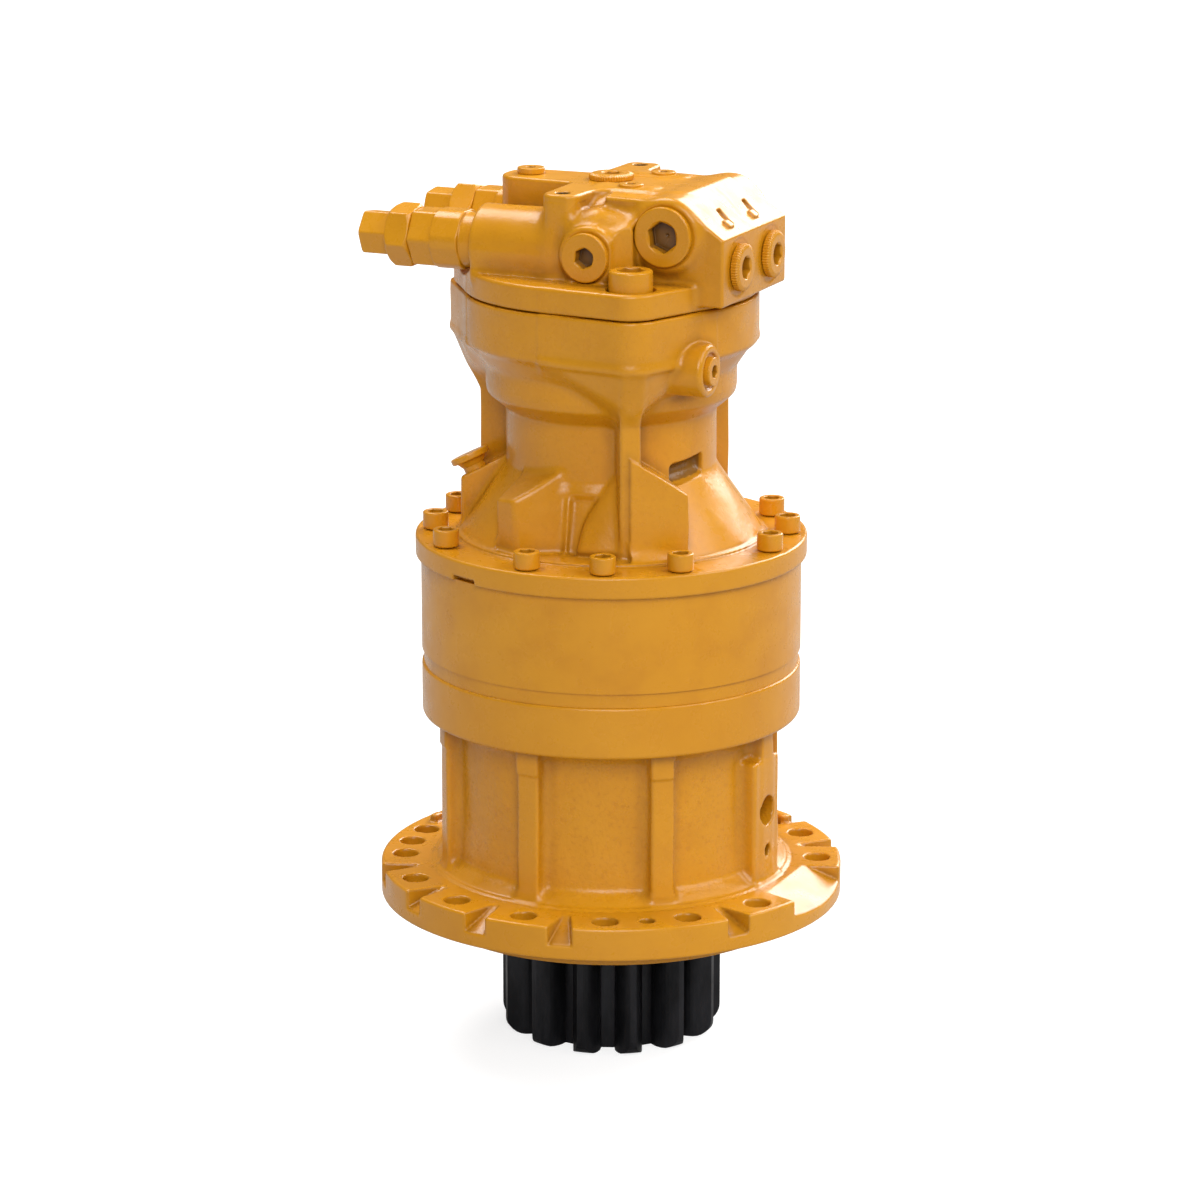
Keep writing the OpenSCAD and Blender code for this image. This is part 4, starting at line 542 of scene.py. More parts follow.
class Nodes:
    """A material and short ways to wire its nodes."""

    def __init__(self, name):
        self.mat = bpy.data.materials.new(name)
        self.mat.use_nodes = True
        self.t = self.mat.node_tree
        self.bsdf = self.t.nodes["Principled BSDF"]
        self.where = self.new("ShaderNodeTexCoord").outputs["Object"]

    def new(self, kind, **values):
        n = self.t.nodes.new(kind)
        for k, v in values.items():
            setattr(n, k, v)
        return n

    def link(self, a, b):
        self.t.links.new(a, b)

    def feed(self, socket, v):
        """A socket's value: a number, a colour or another node's output."""
        if isinstance(v, (int, float)):
            socket.default_value = v
        elif isinstance(v, tuple):
            socket.default_value = (*v, 1)
        else:
            self.link(v, socket)

    def shade(self, key, v):
        """Feeds one of the material's own inputs."""
        self.feed(self.bsdf.inputs[key], v)

    def noise(self, scale, detail=3.0, rough=0.5, stretch=None):
        n = self.new("ShaderNodeTexNoise")
        n.inputs["Scale"].default_value = scale
        n.inputs["Detail"].default_value = detail
        n.inputs["Roughness"].default_value = rough
        src = self.where
        if stretch:
            m = self.new("ShaderNodeMapping")
            m.inputs["Scale"].default_value = stretch
            self.link(src, m.inputs["Vector"])
            src = m.outputs["Vector"]
        self.link(src, n.inputs["Vector"])
        return n.outputs["Fac"]

    def ramp(self, src, lo, hi, a=0.0, b=1.0):
        m = self.new("ShaderNodeMapRange")
        for key, v in (("From Min", lo), ("From Max", hi), ("To Min", a), ("To Max", b)):
            m.inputs[key].default_value = v
        self.link(src, m.inputs["Value"])
        return m.outputs["Result"]

    def math(self, op, a, b):
        m = self.new("ShaderNodeMath", operation=op)
        for i, v in enumerate((a, b)):
            self.feed(m.inputs[i], v)
        return m.outputs[0]

    def times(self, a, b):
        return self.math("MULTIPLY", a, b)

    def mix(self, fac, a, b):
        m = self.new("ShaderNodeMix", data_type="RGBA", blend_type="MIX")
        for i, v in ((0, fac), (6, a), (7, b)):
            self.feed(m.inputs[i], v)
        return m.outputs[2]

    def attribute(self, name):
        return self.new("ShaderNodeAttribute", attribute_name=name).outputs["Fac"]

    def bump(self, height, strength, distance, normal=None):
        b = self.new("ShaderNodeBump")
        b.inputs["Distance"].default_value = distance
        self.feed(b.inputs["Strength"], strength)
        self.link(height, b.inputs["Height"])
        if normal is not None:
            self.link(normal, b.inputs["Normal"])
        return b.outputs["Normal"]


def srgb(r, g, b):
    """A linear colour from screen values."""
    return tuple(v / 12.92 if v <= 0.04045 else ((v + 0.055) / 1.055) ** 2.4 for v in (r, g, b))


PAINT = srgb(0.80, 0.535, 0.06)
PAINT_PALE = srgb(0.83, 0.57, 0.09)
PAINT_DEEP = srgb(0.70, 0.42, 0.04)
# Painted shade for corners and hollows
PAINT_IN_SHADE = srgb(0.42, 0.24, 0.06)
# The colour of unpainted metal, also used for painted shade at the bottom of the casing's slot
BARE_AND_SHADE = srgb(0.24, 0.17, 0.11)
OXIDE = srgb(0.11, 0.11, 0.12)
OXIDE_PALE = srgb(0.2, 0.2, 0.215)


def paint(name, field=True, deep=0.5, grain=0.35, gloss=0.28):
    """Machine enamel: orange peel, painted shade in the corners and cast grain where a mesh has the
    fields.
    """
    n = Nodes(name)
    big = n.ramp(n.noise(9, 3), 0.3, 0.7)
    col = n.mix(big, PAINT, PAINT_PALE)
    blot = n.ramp(n.noise(40, 4, 0.6), 0.45, 0.75)
    col = n.mix(n.times(blot, 0.35 * deep), col, PAINT_DEEP)
    if field:
        # Painted shade: the less open a point is, the darker it gets, speckled by noise
        hollow = n.ramp(n.attribute("open"), 0.35, 0.95, 1.0, 0.0)
        speck = n.ramp(n.noise(120, 5, 0.65), 0.3, 0.7)
        shade_depth = n.math("ADD", n.times(speck, 0.35), 0.35)
        col = n.mix(n.times(hollow, shade_depth), col, PAINT_IN_SHADE)
        rough_at = n.attribute("rough")
        pit = n.ramp(n.noise(300, 3, 0.6), 0.52, 0.7)
        col = n.mix(n.times(n.times(pit, rough_at), 0.35), col, PAINT_DEEP)
        # Unpainted metal, and painted shade at the bottom of the casing's slot
        col = n.mix(n.attribute("bare_and_shade"), col, BARE_AND_SHADE)
    n.shade("Base Color", col)
    normal = n.bump(n.noise(260, 2, 0.5), 0.12, 0.0006)
    if field:
        normal = n.bump(n.noise(420, 4, 0.6), n.times(rough_at, grain), 0.0012, normal)
        normal = n.bump(n.noise(70, 3, 0.5), n.times(rough_at, 0.35), 0.002, normal)
    n.shade("Normal", normal)
    n.shade("Roughness", n.ramp(n.noise(60, 4, 0.6), 0.3, 0.7, gloss - 0.06, gloss + 0.1))
    n.shade("Specular IOR Level", 0.38)
    n.shade("Coat Weight", 0.12)
    n.shade("Coat Roughness", 0.2)
    return n.mat


def metal(name, colour, rough=0.35, streak=(1, 1, 30), metallic=1.0):
    """Ground or turned metal with fine streaks."""
    n = Nodes(name)
    s = n.noise(90, 3, 0.6, streak)
    dull = tuple(c * 0.75 for c in colour)
    n.shade("Base Color", n.mix(n.ramp(s, 0.3, 0.7), colour, dull))
    n.shade("Roughness", n.ramp(s, 0.3, 0.7, rough - 0.06, rough + 0.08))
    n.shade("Metallic", metallic)
    n.shade("Normal", n.bump(s, 0.08, 0.0003))
    return n.mat


def black_oxide(name):
    """The pinion's blackened steel."""
    n = Nodes(name)
    s = n.noise(60, 4, 0.6, (1, 1, 0.3))
    n.shade("Base Color", n.mix(n.ramp(s, 0.35, 0.7), OXIDE, OXIDE_PALE))
    n.shade("Roughness", n.ramp(n.noise(150, 3), 0.3, 0.7, 0.28, 0.42))
    n.shade("Metallic", 0.6)
    n.shade("Normal", n.bump(n.noise(500, 3), 0.1, 0.0003))
    return n.mat


M = {
    "cast": paint("cast_paint"),
    "smooth": paint("smooth_paint", grain=0.0, gloss=0.26),
    "cad_paint": paint("drum_paint", field=False, deep=0.8),
    "black": black_oxide("black_oxide"),
    "steel": metal("ground_steel", srgb(0.66, 0.67, 0.69), 0.3),
    "dark": metal("heat_treated_steel", srgb(0.4, 0.41, 0.43), 0.4),
    "bronze": metal("bronze", srgb(0.72, 0.55, 0.32), 0.35),
    "rubber": metal("black_rubber", srgb(0.09, 0.09, 0.09), 0.6, (1, 1, 1), 0.0),
}
SLOT_MATERIAL = {
    "paint": "cad_paint", "black_iron": "black", "steel": "steel", "dark_steel": "dark",
    "bronze": "bronze", "rubber": "rubber"}
slots = {s["node"]: s["material_slot"] for s in frame["record"]["subparts"]}


def dress_cad_nodes():
    """Each CAD node gets the material of its slot."""
    for node, ob in frame["nodes"].items():
        ob.data.materials.clear()
        ob.data.materials.append(M[SLOT_MATERIAL[slots[node]]])


# Gearbox housing

HOUSING_PROFILE = [
    (112.05, HOUSING_LOW, 0.6), (134, HOUSING_LOW, 1.5), (134, 0, 0.6), (FLANGE_R, 0, 1.5),
    (FLANGE_R, FLANGE_TOP, 1.8), (128, FLANGE_TOP, 0.6), (127, 25, 0.6), (124.5, 25, 2), (114.5, 34, 6),
    (112.6, 60, 0), (112.6, 124, 8), (118, 134, 3), (BAND_R, 134, 2.2), (BAND_R, HOUSING_TOP, 0.8),
    (102.5, HOUSING_TOP, 0), (102.5, 136.5, 0), (75, 136.5, 0), (75, 98, 0), (70, 98, 0), (70, 90, 0),
    (97, 88, 3), (97, 52, 3), (85, 50, 0), (85, 42.5, 0), (90, 42.5, 0), (90, -3.5, 0), (112.05, -3.5, 0)]
HOUSING_STEP = 1.5
BOSS_FACE_R = 123.6
# Each port: its radius, height and depth
SIDE_PORTS = ((10.4, 75, 30), (4.3, 46, 20))
FLANGE_HOLE_CIRCLE = 147
FLANGE_HOLE_R = 8.75
FLANGE_HOLE_ANGLES = [22.5 * k for k in range(1, 16)] + [191.25]
JACK_R, JACK_ANGLE = 5.1, -56.25
NOTCH_ANGLES = (213.75, 236.25, 258.75, 281.25, 326.25, 33.75, 56.25, 78.75, 101.25, 123.75, 146.25)


def add_ribs(clay):
    """The upright ribs and the boss that carries two ports."""
    rib = both(block((90, -8.2, 20), (124, 8.2, 138), 2.0), post(123.2, 18, 140), 2.0)
    proud = both(block((90, -8.2, 115), (126, 8.2, 140), 2.0), post(124.4, 112, 142), 1.2)
    for i in range(RIB_COUNT):
        a = RIB_PHASE + 360 / RIB_COUNT * i
        window = near(*polar(112, a), 32, 15, 140)
        clay.add(spun(a, rib), 7, *window)
        clay.add(spun(a, proud), 1.5, *window)
    boss = block((80, -19, 20), (BOSS_FACE_R, 19, 113), 2.5)
    clay.add(spun(RIB_PHASE, boss), 6, *near(*polar(112, RIB_PHASE), 40, 15, 125))


def cut_flange(clay):
    """Bolt holes, a jacking hole and the notches that fall to the rim."""
    for a in FLANGE_HOLE_ANGLES:
        drill(clay, FLANGE_HOLE_CIRCLE, a, FLANGE_HOLE_R, -3, 30, 0.8, (14, -4, 30))
    drill(clay, FLANGE_HOLE_CIRCLE, JACK_ANGLE, JACK_R, -3, 30, 0.8, (10, -4, 30))
    fall = 13.5
    for a in NOTCH_ANGLES:
        foot = FLANGE_TOP - fall * 34 / 28
        slope = side_prism([(136, FLANGE_TOP, 0), (136, 40, 0), (170, 40, 0), (170, foot, 0)], -30, 30)
        plan = prism([(136, -1.6, 0), (170, -8.5, 0), (170, 11.5, 0), (136, 1.8, 0)], 0, 60)
        clay.cut(spun(a, both(slope, plan)), 1.2, *near(*polar(152, a), 26, 5, 30))
    foot = FLANGE_TOP - fall * 38 / 30
    slope = side_prism([(134, FLANGE_TOP, 0), (134, 40, 0), (172, 40, 0), (172, foot, 0)], -60, 60)
    plan = prism([(*polar(r, a), 0) for r, a in ((134, -13), (172, -15), (172, 15), (134, 14))], 0, 60)
    clay.cut(both(slope, plan), 1.2, (126, -50, 5), (170, 50, 32))


def cut_side_ports(clay):
    """The two open ports in the boss."""
    out = polar(1, RIB_PHASE)
    for r, z, depth in SIDE_PORTS:
        hole = turned((*polar(BOSS_FACE_R, RIB_PHASE), z), (*out, 0), post(r, -depth, 4))
        clay.cut(hole, 0.8, (90, -30, z - 14), (128, 16, z + 14))


def make_housing():
    clay = Clay((-FLANGE_R - 1, -FLANGE_R - 1, -14), (FLANGE_R + 1, FLANGE_R + 1, 172), HOUSING_STEP)
    clay.revolve(HOUSING_PROFILE)
    add_ribs(clay)
    cut_flange(clay)
    cut_side_ports(clay)
    # Raised pads that the foundry left on the flange
    for a, r in ((56, 148), (172, 151)):
        pad = block((r - 3, -5, 20), (r + 3, 5, 29), 1.5)
        clay.add(spun(a, pad), 2, *near(*polar(r, a), 12, 18, 34))
    clay.roughen(waves(3, 60, 0.22), 30, 132, 108)

    def rough(p, n):
        r = np.hypot(p[:, 0], p[:, 1])
        side = (p[:, 2] > 27) & (p[:, 2] < 133.5) & (r < 126)
        panel = np.clip((121.5 - r) / 4, 0, 1)
        return np.where(side, 0.35 + 0.65 * panel, 0.12)
    cast_piece("housing_casting", clay, "gearbox_housing", rough, all_painted)


# Motor casing

CASING_PROFILE = [
    (104, CASING_LOW, 0), (CASING_R, CASING_LOW, 1.2), (CASING_R, CLAMP_SEAT, 1.6),
    (108.6, CLAMP_SEAT, 0.2), (108.6, 265, 0.6), (84.5, 265, 2), (74.4, 300.5, 1), (76, 305.5, 1),
    (NECK_R, 313, 2), (NECK_R, 353, 5), (86.5, 364, 5), (87.5, 370, 3), (87.5, 383, 8), (96, 396, 8),
    (BARREL_R, 401, 3), (BARREL_R, CASING_RIM, 0.8), (83.05, CASING_RIM, 0), (83.05, 397.2, 0),
    (76, 397.2, 0), (76, 386, 0), (73, 386, 0), (73, 360.4, 0), (62, 360.4, 0), (62, 291, 0),
    (40, 291, 0), (40, 265, 0), (24, 265, 0), (24, 262, 0), (30, 262, 0), (30, 254, 0), (38, 254, 0),
    (38, 251.2, 0), (104, 251.2, 0)]
CASING_STEP = 1.35
HOLLOW_SIDES = [((0, 0, 0), (-0.8973, 0.4415, 0)), ((0, 0, 0), (0.8517, 0.524, 0))]
WEB_HALF = 7.2


def lobe_form(z0, z1, edge):
    """A bolt lobe with straight sides that touch the barrel, along +X."""
    x0, y0 = polar(BARREL_R, LOBE_TANGENT)
    x1, y1 = polar(LOBE_R, LOBE_TANGENT)
    tip = LOBE_CIRCLE + x1
    flanks = prism([(30, -30, 0), (x0, -y0, 0), (tip, -y1, 0), (tip, y1, 0), (x0, y0, 0), (30, 30, 0)],
                   z0, z1, edge)
    nose = post(LOBE_R, z0, z1, edge, LOBE_CIRCLE, 0)
    return lambda X, Y, Z: np.minimum(nose(X, Y, Z), flanks(X, Y, Z))


def add_lobe(clay, angle):
    """A bolt lobe, the web below it and the funnel between the two."""
    cx, cy = polar(90, angle)
    window = near(cx, cy, 75, 245, 436)
    clay.add(spun(angle, lobe_form(399, CASING_RIM, 1.0)), 2, *window)
    blade = block((60, -WEB_HALF, 255), (126, WEB_HALF, 398), 2.2)

    def web(X, Y, Z):
        front = (X - F(98.8) - np.maximum(Z - F(357), 0) * F(0.5)) * F(0.93)
        return round_both(blade(X, Y, Z), front, 2.2)
    clay.add(spun(angle, web), 5, *window)
    flanks = facets([((105.5, side * WEB_HALF, 371), (0.395, side * 0.58, -0.712)) for side in (-1, 1)]
                    + [((40, 0, 0), (-1, 0, 0)), ((0, 0, 402), (0, 0, 1))], 2.5)
    upright = lobe_form(330, 410, 0)

    def leaning(X, Y, Z):
        return upright(X + (F(402) - Z) * F(0.5), Y, Z) * F(0.9)
    clay.add(spun(angle, both(flanks, leaning, 2.5)), 5, *window)


def add_gusset(clay, angle):
    """A flat-faced gusset beside a web, its top falling away from it."""
    start, end = polar(101.2, -0.2), polar(106, 22.6)
    plan = prism([(*start, 0), (*end, 0.8), (*polar(62, 22.6), 0), (*polar(62, -0.2), 0)], 255, 345)
    dx, dy = end[0] - start[0], end[1] - start[1]
    run = math.hypot(dx, dy)
    fall = 27
    top = facets([((*start, 336), (dx / run * fall / run, dy / run * fall / run, 1))])
    cx, cy = polar(88, angle + 11)
    clay.add(spun(angle, both(plan, top, 1.0)), 2, *near(cx, cy, 42, 250, 350))


def add_filler_block(clay):
    """The block with a slanted top that carries the filler port."""
    plan = prism([(66, 0, 0), (98, 0, 0), (*polar(103, 10), 8), (*polar(106, 24), 2.5),
                  (*polar(66, 24), 0)], 255, 345)
    turn = math.radians(6)

    def slant(X, Y, Z):
        out = X * F(math.cos(turn)) + Y * F(math.sin(turn))
        lean = F(math.tan(math.radians(FILLER_LEAN)))
        return (Z - F(FILLER_HEIGHT) + (out - F(94.4)) * lean) * F(0.9)
    clay.add(spun(180, both(plan, slant, 1.5)), 4, (-115, -62, 250), (-55, 12, 345))


def add_front_swellings(clay):
    """Two angular swellings on the front of the skirt, and the thin ridge in the hollow between them."""
    corner = (-27.8, -99.2, 302)
    face = both(facets([(corner, (0.623, -0.747, 0.23))]), facets([(corner, (0.4, -0.917, 0))]), 7)
    left = facets([(corner, (-0.404, -0.915, 0)), (corner, (-0.273, -0.386, 0.881)),
                   ((-45, -91.6, 300), (-0.97, 0.24, 0))], 1.2)
    clay.add(both(face, left, 3), 4, (-62, -112, 250), (20, -40, 335))
    peak = (31.4, -69.2, 322)
    face = both(facets([(peak, (-0.2475, -0.855, 0.4566))]), facets([(peak, (0.17, -0.9166, 0.3624))]), 6)
    right = facets([((13, -90, 275), (-0.998, 0, 0.06)), ((14, -86, 288), (-0.878, 0, 0.478)),
                    ((0, 0, 0), (0.852, 0.524, 0)), (peak, (0, -0.2, 0.98)),
                    ((0, 0, 265.5), (0, 0, -1))], 4)
    clay.add(both(face, right, 7), 3, (-8, -112, 250), (64, -36, 335))
    ridge = facets([((4.8, -84, 280), (0.98, 0.2, 0)), ((2.4, -84, 280), (-0.98, -0.2, 0)),
                    ((0, -88.4, 263), (0, -0.97, 0.27)), ((0, -80, 300), (0, -0.5, 0.87)),
                    ((0, -60, 280), (0, 1, 0))], 1.8)
    clay.add(ridge, 4, (-20, -100, 255), (25, -60, 312))


def add_brake_port(clay):
    """The boss of the brake release port, with its seat and bore."""
    boss, seat, bore = (turned(BRAKE_PORT, (1, 0, 0), form) for form in (
        post(18.4, -60, 0, 3), post(12.6, -2.2, 5), post(6.6, -17, 5)))
    clay.add(boss, 3, (35, -85, 365), (102, -28, 425))
    clay.cut(seat, 1.0, (90, -75, 378), (102, -38, 412))
    clay.cut(bore, 0.4, (76, -75, 378), (102, -38, 412))


def cut_slot_and_notch(clay):
    """The slot at the foot of the neck beside the right web, and the notch under the flange's rim."""
    start, end = math.radians(-33), math.radians(-7)
    span = facets([((0, 0, 0), (math.sin(start), -math.cos(start), 0)),
                   ((0, 0, 0), (-math.sin(end), math.cos(end), 0))])

    def groove(X, Y, Z):
        depth = (np.sqrt(X * X + Y * Y) - F(75.5)) * F(0.75)
        height = (Z - F(322.5) - (Y - X * F(0.12)) * F(0.13)) * F(0.9)
        return np.sqrt(depth ** 2 + height ** 2) - F(7)
    clay.cut(both(groove, span, 3), 0.8, (40, -62, 296), (95, 12, 338))
    notch = block((131, -11, 244), (140, 11, 251.4), 1)
    clay.cut(spun(-113.5, notch), 0.8, (-72, -140, 244), (-30, -108, 256))


def cut_casing_holes(clay):
    """Seats and holes of the clamp screws, holes of the cover screws and the filler's hole."""
    for a, _ in CLAMP_SCREWS:
        drill(clay, CLAMP_CIRCLE, a, 11, CLAMP_SEAT, 300, 2.0, (16, 240, 305))
        drill(clay, CLAMP_CIRCLE, a, CLAMP_R + 0.6, 240, 270, 0.3, (16, 240, 305))
    for a in LOBES:
        drill(clay, LOBE_CIRCLE, a, COVER_SCREW_R + 0.05, 403, 440, 0, (14, 398, 440))
    point, axis = filler_seat()
    lo, hi = near(point[0], point[1], 25, 280, 325)
    clay.cut(turned(point, axis, post(8.05, -16, 4)), 0.5, lo, hi)


def filler_seat():
    """Where the filler's cap sits and where it points."""
    lean = math.radians(FILLER_LEAN)
    return (*polar(96, 196.4), FILLER_HEIGHT), (*polar(math.sin(lean), 186), math.cos(lean))


def make_casing():
    clay = Clay((-138, -138, 247), (138, 138, JOINT_Z), CASING_STEP)
    clay.revolve(CASING_PROFILE)
    # The skirt's cone, left out over the hollow front
    skirt, hollow = cone(108, NECK_R, 262, 313), facets(HOLLOW_SIDES)
    clay.add(lambda X, Y, Z: np.maximum(skirt(X, Y, Z), -hollow(X, Y, Z)), 1.5,
             (-112, -112, 255), (112, 112, 320))
    for a in LOBES:
        add_lobe(clay, a)
    for a in LOBES[:2]:
        add_gusset(clay, a)
    add_filler_block(clay)
    add_front_swellings(clay)
    add_brake_port(clay)
    cut_slot_and_notch(clay)
    cut_casing_holes(clay)
    clay.roughen(waves(11, 45, 0.2), 266, 428, 68)

    def rough(p, n):
        return np.where((p[:, 2] > 265) & (p[:, 2] < 430), 0.5, 0.1)

    def bare_and_shade(p):
        """Painted shade at the bottom of the slot, in the colour of unpainted metal."""
        deep = (np.abs(p[:, 2] - 317) < 18) & (np.hypot(p[:, 0], p[:, 1]) < 70.5) & (p[:, 0] > 40)
        return deep * 0.6
    cast_piece("motor_casting", clay, "motor_casing", rough, bare_and_shade)


# Valve cover

COVER_STEP = 1.0
COVER_FLANGE_TOP = 452.5


def star_outline():
    """The raised top: nose, two ears and the middle, drawn for one side and mirrored."""
    side = [(-80, 19, 17), (-20, 22, 4), (-19, 76, 8), (6, 76, 8), (8, 45, 10), (20, 38, 10), (60, 38, 8),
            (74, 38, 4)]
    return [(x, -y, r) for x, y, r in side] + side[::-1]


def add_relief_boss(clay, s):
    """A relief valve's boss and the flat that its body stands on. s is the side, -1 or 1."""
    x, y, z = sided(RELIEF, s)
    barrel = turned((x, y, z + 1), (1, 0, 0), post(25, 0, 66, 3.0))
    clay.add(barrel, 8, (-86, -86, 440), (2, 86, 506))
    base = block((x + 1, y - 24, COVER_SEAT), (-12, y + 24, 470), 3)
    clay.add(base, 5, (-86, -86, 440), (0, 86, 503))
    room = turned((x - 1.5, y, z), (-1, 0, 0), post(24, 0, 60, 1))
    clay.cut(room, 1, (-106, -82, 440), (-70, 82, 500))


def add_plug_bosses(clay, s):
    """Bosses of the large and the small side plug, and the rough swelling over the small one."""
    x, y, z = LARGE_PLUG
    big = turned((x, 0, z), (0, s, 0), post(25.6, 0, y, 4.6))
    clay.add(big, 6, (34, -70, 452), (98, 70, 513))
    x, y, z = SMALL_PLUG
    small = turned((x, 0, z), (0, s, 0), post(21.0, 0, y, 3.4))
    clay.add(small, 6, (-12, -90, 444), (48, 90, 500))
    swelling = facets([((0, s * 42, 507), (0, s * 0.48, 0.877)), ((2, 0, 0), (-1, 0, 0)),
                       ((46, 0, 0), (1, 0, 0)), ((0, s * 78, 0), (0, s, 0)), ((0, s * 20, 0), (0, -s, 0)),
                       ((0, 0, 455), (0, 0, -1))], 5)
    clay.add(swelling, 5, (-8, -92, 450), (56, 92, 512))
    for x, y, z, r in ((6, 66, 488, 10), (18, 62, 492, 10), (30, 60, 488, 9), (40, 52, 482, 9)):
        clay.add(ball(x, s * y, z, r), 7, (-15, -92, 460), (62, 92, 512))


def cut_cover_side(clay, s):
    """Plug seats and bores, the relief valve's bore, the lifting hole and a top plug's hole."""
    for point, axis, lo, hi, bores in (
            (LARGE_PLUG, (0, s, 0), (38, -70, 455), (96, 70, 513),
             ((21.4, -0.6, 6, 0.3), (16.1, -15, 6, 0.3))),
            (SMALL_PLUG, (0, s, 0), (-8, -92, 448), (46, 92, 496),
             ((17.6, -0.6, 8, 0.4), (11.1, -15, 8, 0.3))),
            (PORT, (1, 0, 0), (80, -52, 436), (112, 52, 486), ((20, -0.6, 6, 0.4), (12.1, -15, 6, 0.3))),
            (RELIEF, (1, 0, 0), (-82, -70, 450), (-25, 70, 492), ((15.1, -6, 44, 0.4),))):
        for r, z0, z1, k in bores:
            clay.cut(turned(sided(point, s), axis, post(r, z0, z1)), k, lo, hi)
    lift = post(5.1, 489, 520, 0, LIFT_X, s * LIFT_Y)
    clay.cut(lift, 0.5, *near(LIFT_X, s * LIFT_Y, 9, 485, 515))
    clay.cut(post(6.1, 501, 520, 0, *sided(TOP_PLUG, s)[:2]), 0.3, (16, -40, 498), (38, 40, 515))


def mark_slope(clay):
    """Two slots on the slope of the port block, each with a small lug at its foot."""
    out = np.array([0.57, 0, 0.82])
    for y in (-22, 22):
        slot = block((-3.2, -9, -2), (3.2, 5, 6), 1.2)
        clay.cut(turned((92, y, 495.5), out, slot), 0.8, (76, -45, 480), (108, 45, 512))
        lug = block((-4, -3.5, -3), (4, 3.5, 2.0), 1.2)
        clay.add(turned((98.5, y - 6, 490.6), out, lug), 0.8, (86, -45, 478), (108, 45, 505))


def cut_cover_top(clay):
    """The rib along the slope's upper edge, the plugs' holes and the cover screws' seats."""
    clay.add(block((68, -40, 503), (74.5, 46, 510.6), 1.4), 1.2, (60, -50, 498), (82, 56, 514))
    clay.cut(post(6.1, 501, 520, 0, NOSE_PLUG_X, 0), 0.3, (-70, -9, 498), (-52, 9, 515))
    clay.cut(post(11.1, 499, 520, 0, 0, 0), 0.3, (-14, -14, 496), (14, 14, 515))
    for a in LOBES:
        drill(clay, LOBE_CIRCLE, a, 16.5, COVER_SEAT, 530, 1.2, (22, 440, 514))
        drill(clay, LOBE_CIRCLE, a, COVER_SCREW_R + 0.1, 430, 450, 0.2, (14, 432, 450))


def make_cover():
    clay = Clay((-105, -112, JOINT_Z), (109, 112, 512), COVER_STEP)
    clay.add(post(BARREL_R, COVER_LOW, COVER_FLANGE_TOP, 2.5))
    for a in LOBES:
        clay.add(spun(a, lobe_form(COVER_LOW, COVER_FLANGE_TOP, 2.5)), 1)
    clay.add(prism(star_outline(), COVER_SEAT, COVER_TOP, 2.2), 7)
    face_x, slope_foot, half_width = 106.9, 484.7, 56.5
    clay.add(side_prism([(20, 438.4, 0), (face_x, 438.4, 2), (face_x, slope_foot, 2), (73, 508, 3),
                         (20, 509, 0)], -half_width, half_width, 2.0), 4)
    for s in (-1, 1):
        add_relief_boss(clay, s)
        add_plug_bosses(clay, s)
        cut_cover_side(clay, s)
    mark_slope(clay)
    cut_cover_top(clay)
    clay.roughen(waves(23, 40, 0.16), 454, 506)

    def rough(p, n):
        flat = np.abs(n[:, 2]) > 0.98
        lump = np.exp(-((p[:, 0] - 18) ** 2 + (np.abs(p[:, 1]) - 64) ** 2 + (p[:, 2] - 494) ** 2) / 500)
        return np.where(flat & (p[:, 2] > 509), 0.08, 0.4 + 0.6 * lump)

    def bare_and_shade(p):
        """The lifting threads."""
        return (np.hypot(p[:, 0] - LIFT_X, np.abs(p[:, 1]) - LIFT_Y) < 5.4) & (p[:, 2] < 510.2)
    cast_piece("cover_casting", clay, "valve_cover", rough, bare_and_shade)


# Fasteners, plugs and valves

def countersink(level):
    """The space inside a 45 degree cone whose tip lies at a level on Z."""
    return lambda X, Y, Z: (np.sqrt(X * X + Y * Y) - Z + F(level)) * F(0.7)


def screw_clay(r, h, af, deep, step, shank_r, stub):
    """A socket head and a stub of its shank. r and h are the head's radius and height, af is the socket's
    width across flats, deep its depth and step the grid's."""
    clay = Clay((-r, -r, -stub), (r, r, h), step)
    clay.add(post(r, 0, h, 0.12 * r))
    clay.cut(countersink(h - 0.56 * af))
    clay.cut(hexagon(af, h - deep, h + 5), 0.3)
    clay.add(post(shank_r, -stub, 1))
    return clay


def plug_clay(r, t, af, thread, length, step, deep, knurl=0):
    """A plug with a hexagon socket. r and t are the head's radius and height, thread and length the
    thread's, and knurl counts the rim's teeth. af, deep and step are as for a screw."""
    clay = Clay((-r - 0.5, -r - 0.5, -length), (r + 0.5, r + 0.5, t), step)
    clay.add(post(r, 0, t, 0.9))
    if knurl:
        def rim(X, Y, Z):
            a = np.arctan2(Y, X) * F(knurl)
            rr = np.sqrt(X * X + Y * Y)
            return rr - F(r - 0.3) - np.cos(a) * F(0.45) + np.maximum(Z - F(t - 1.3), 0) * 2
        clay.keep(rim)
    clay.add(post(thread, -length, 1))
    clay.cut(countersink(t - 0.6 * af))
    clay.cut(hexagon(af, t - deep, t + 5), 0.25)
    return clay


def socket_floor(radius):
    """The unpainted bottom of a plug's socket."""
    def bare_and_shade(p):
        floor = (np.hypot(p[:, 0], p[:, 1]) < radius) & (p[:, 2] < -3.2) & (p[:, 2] > -9)
        return floor * 0.75
    return bare_and_shade


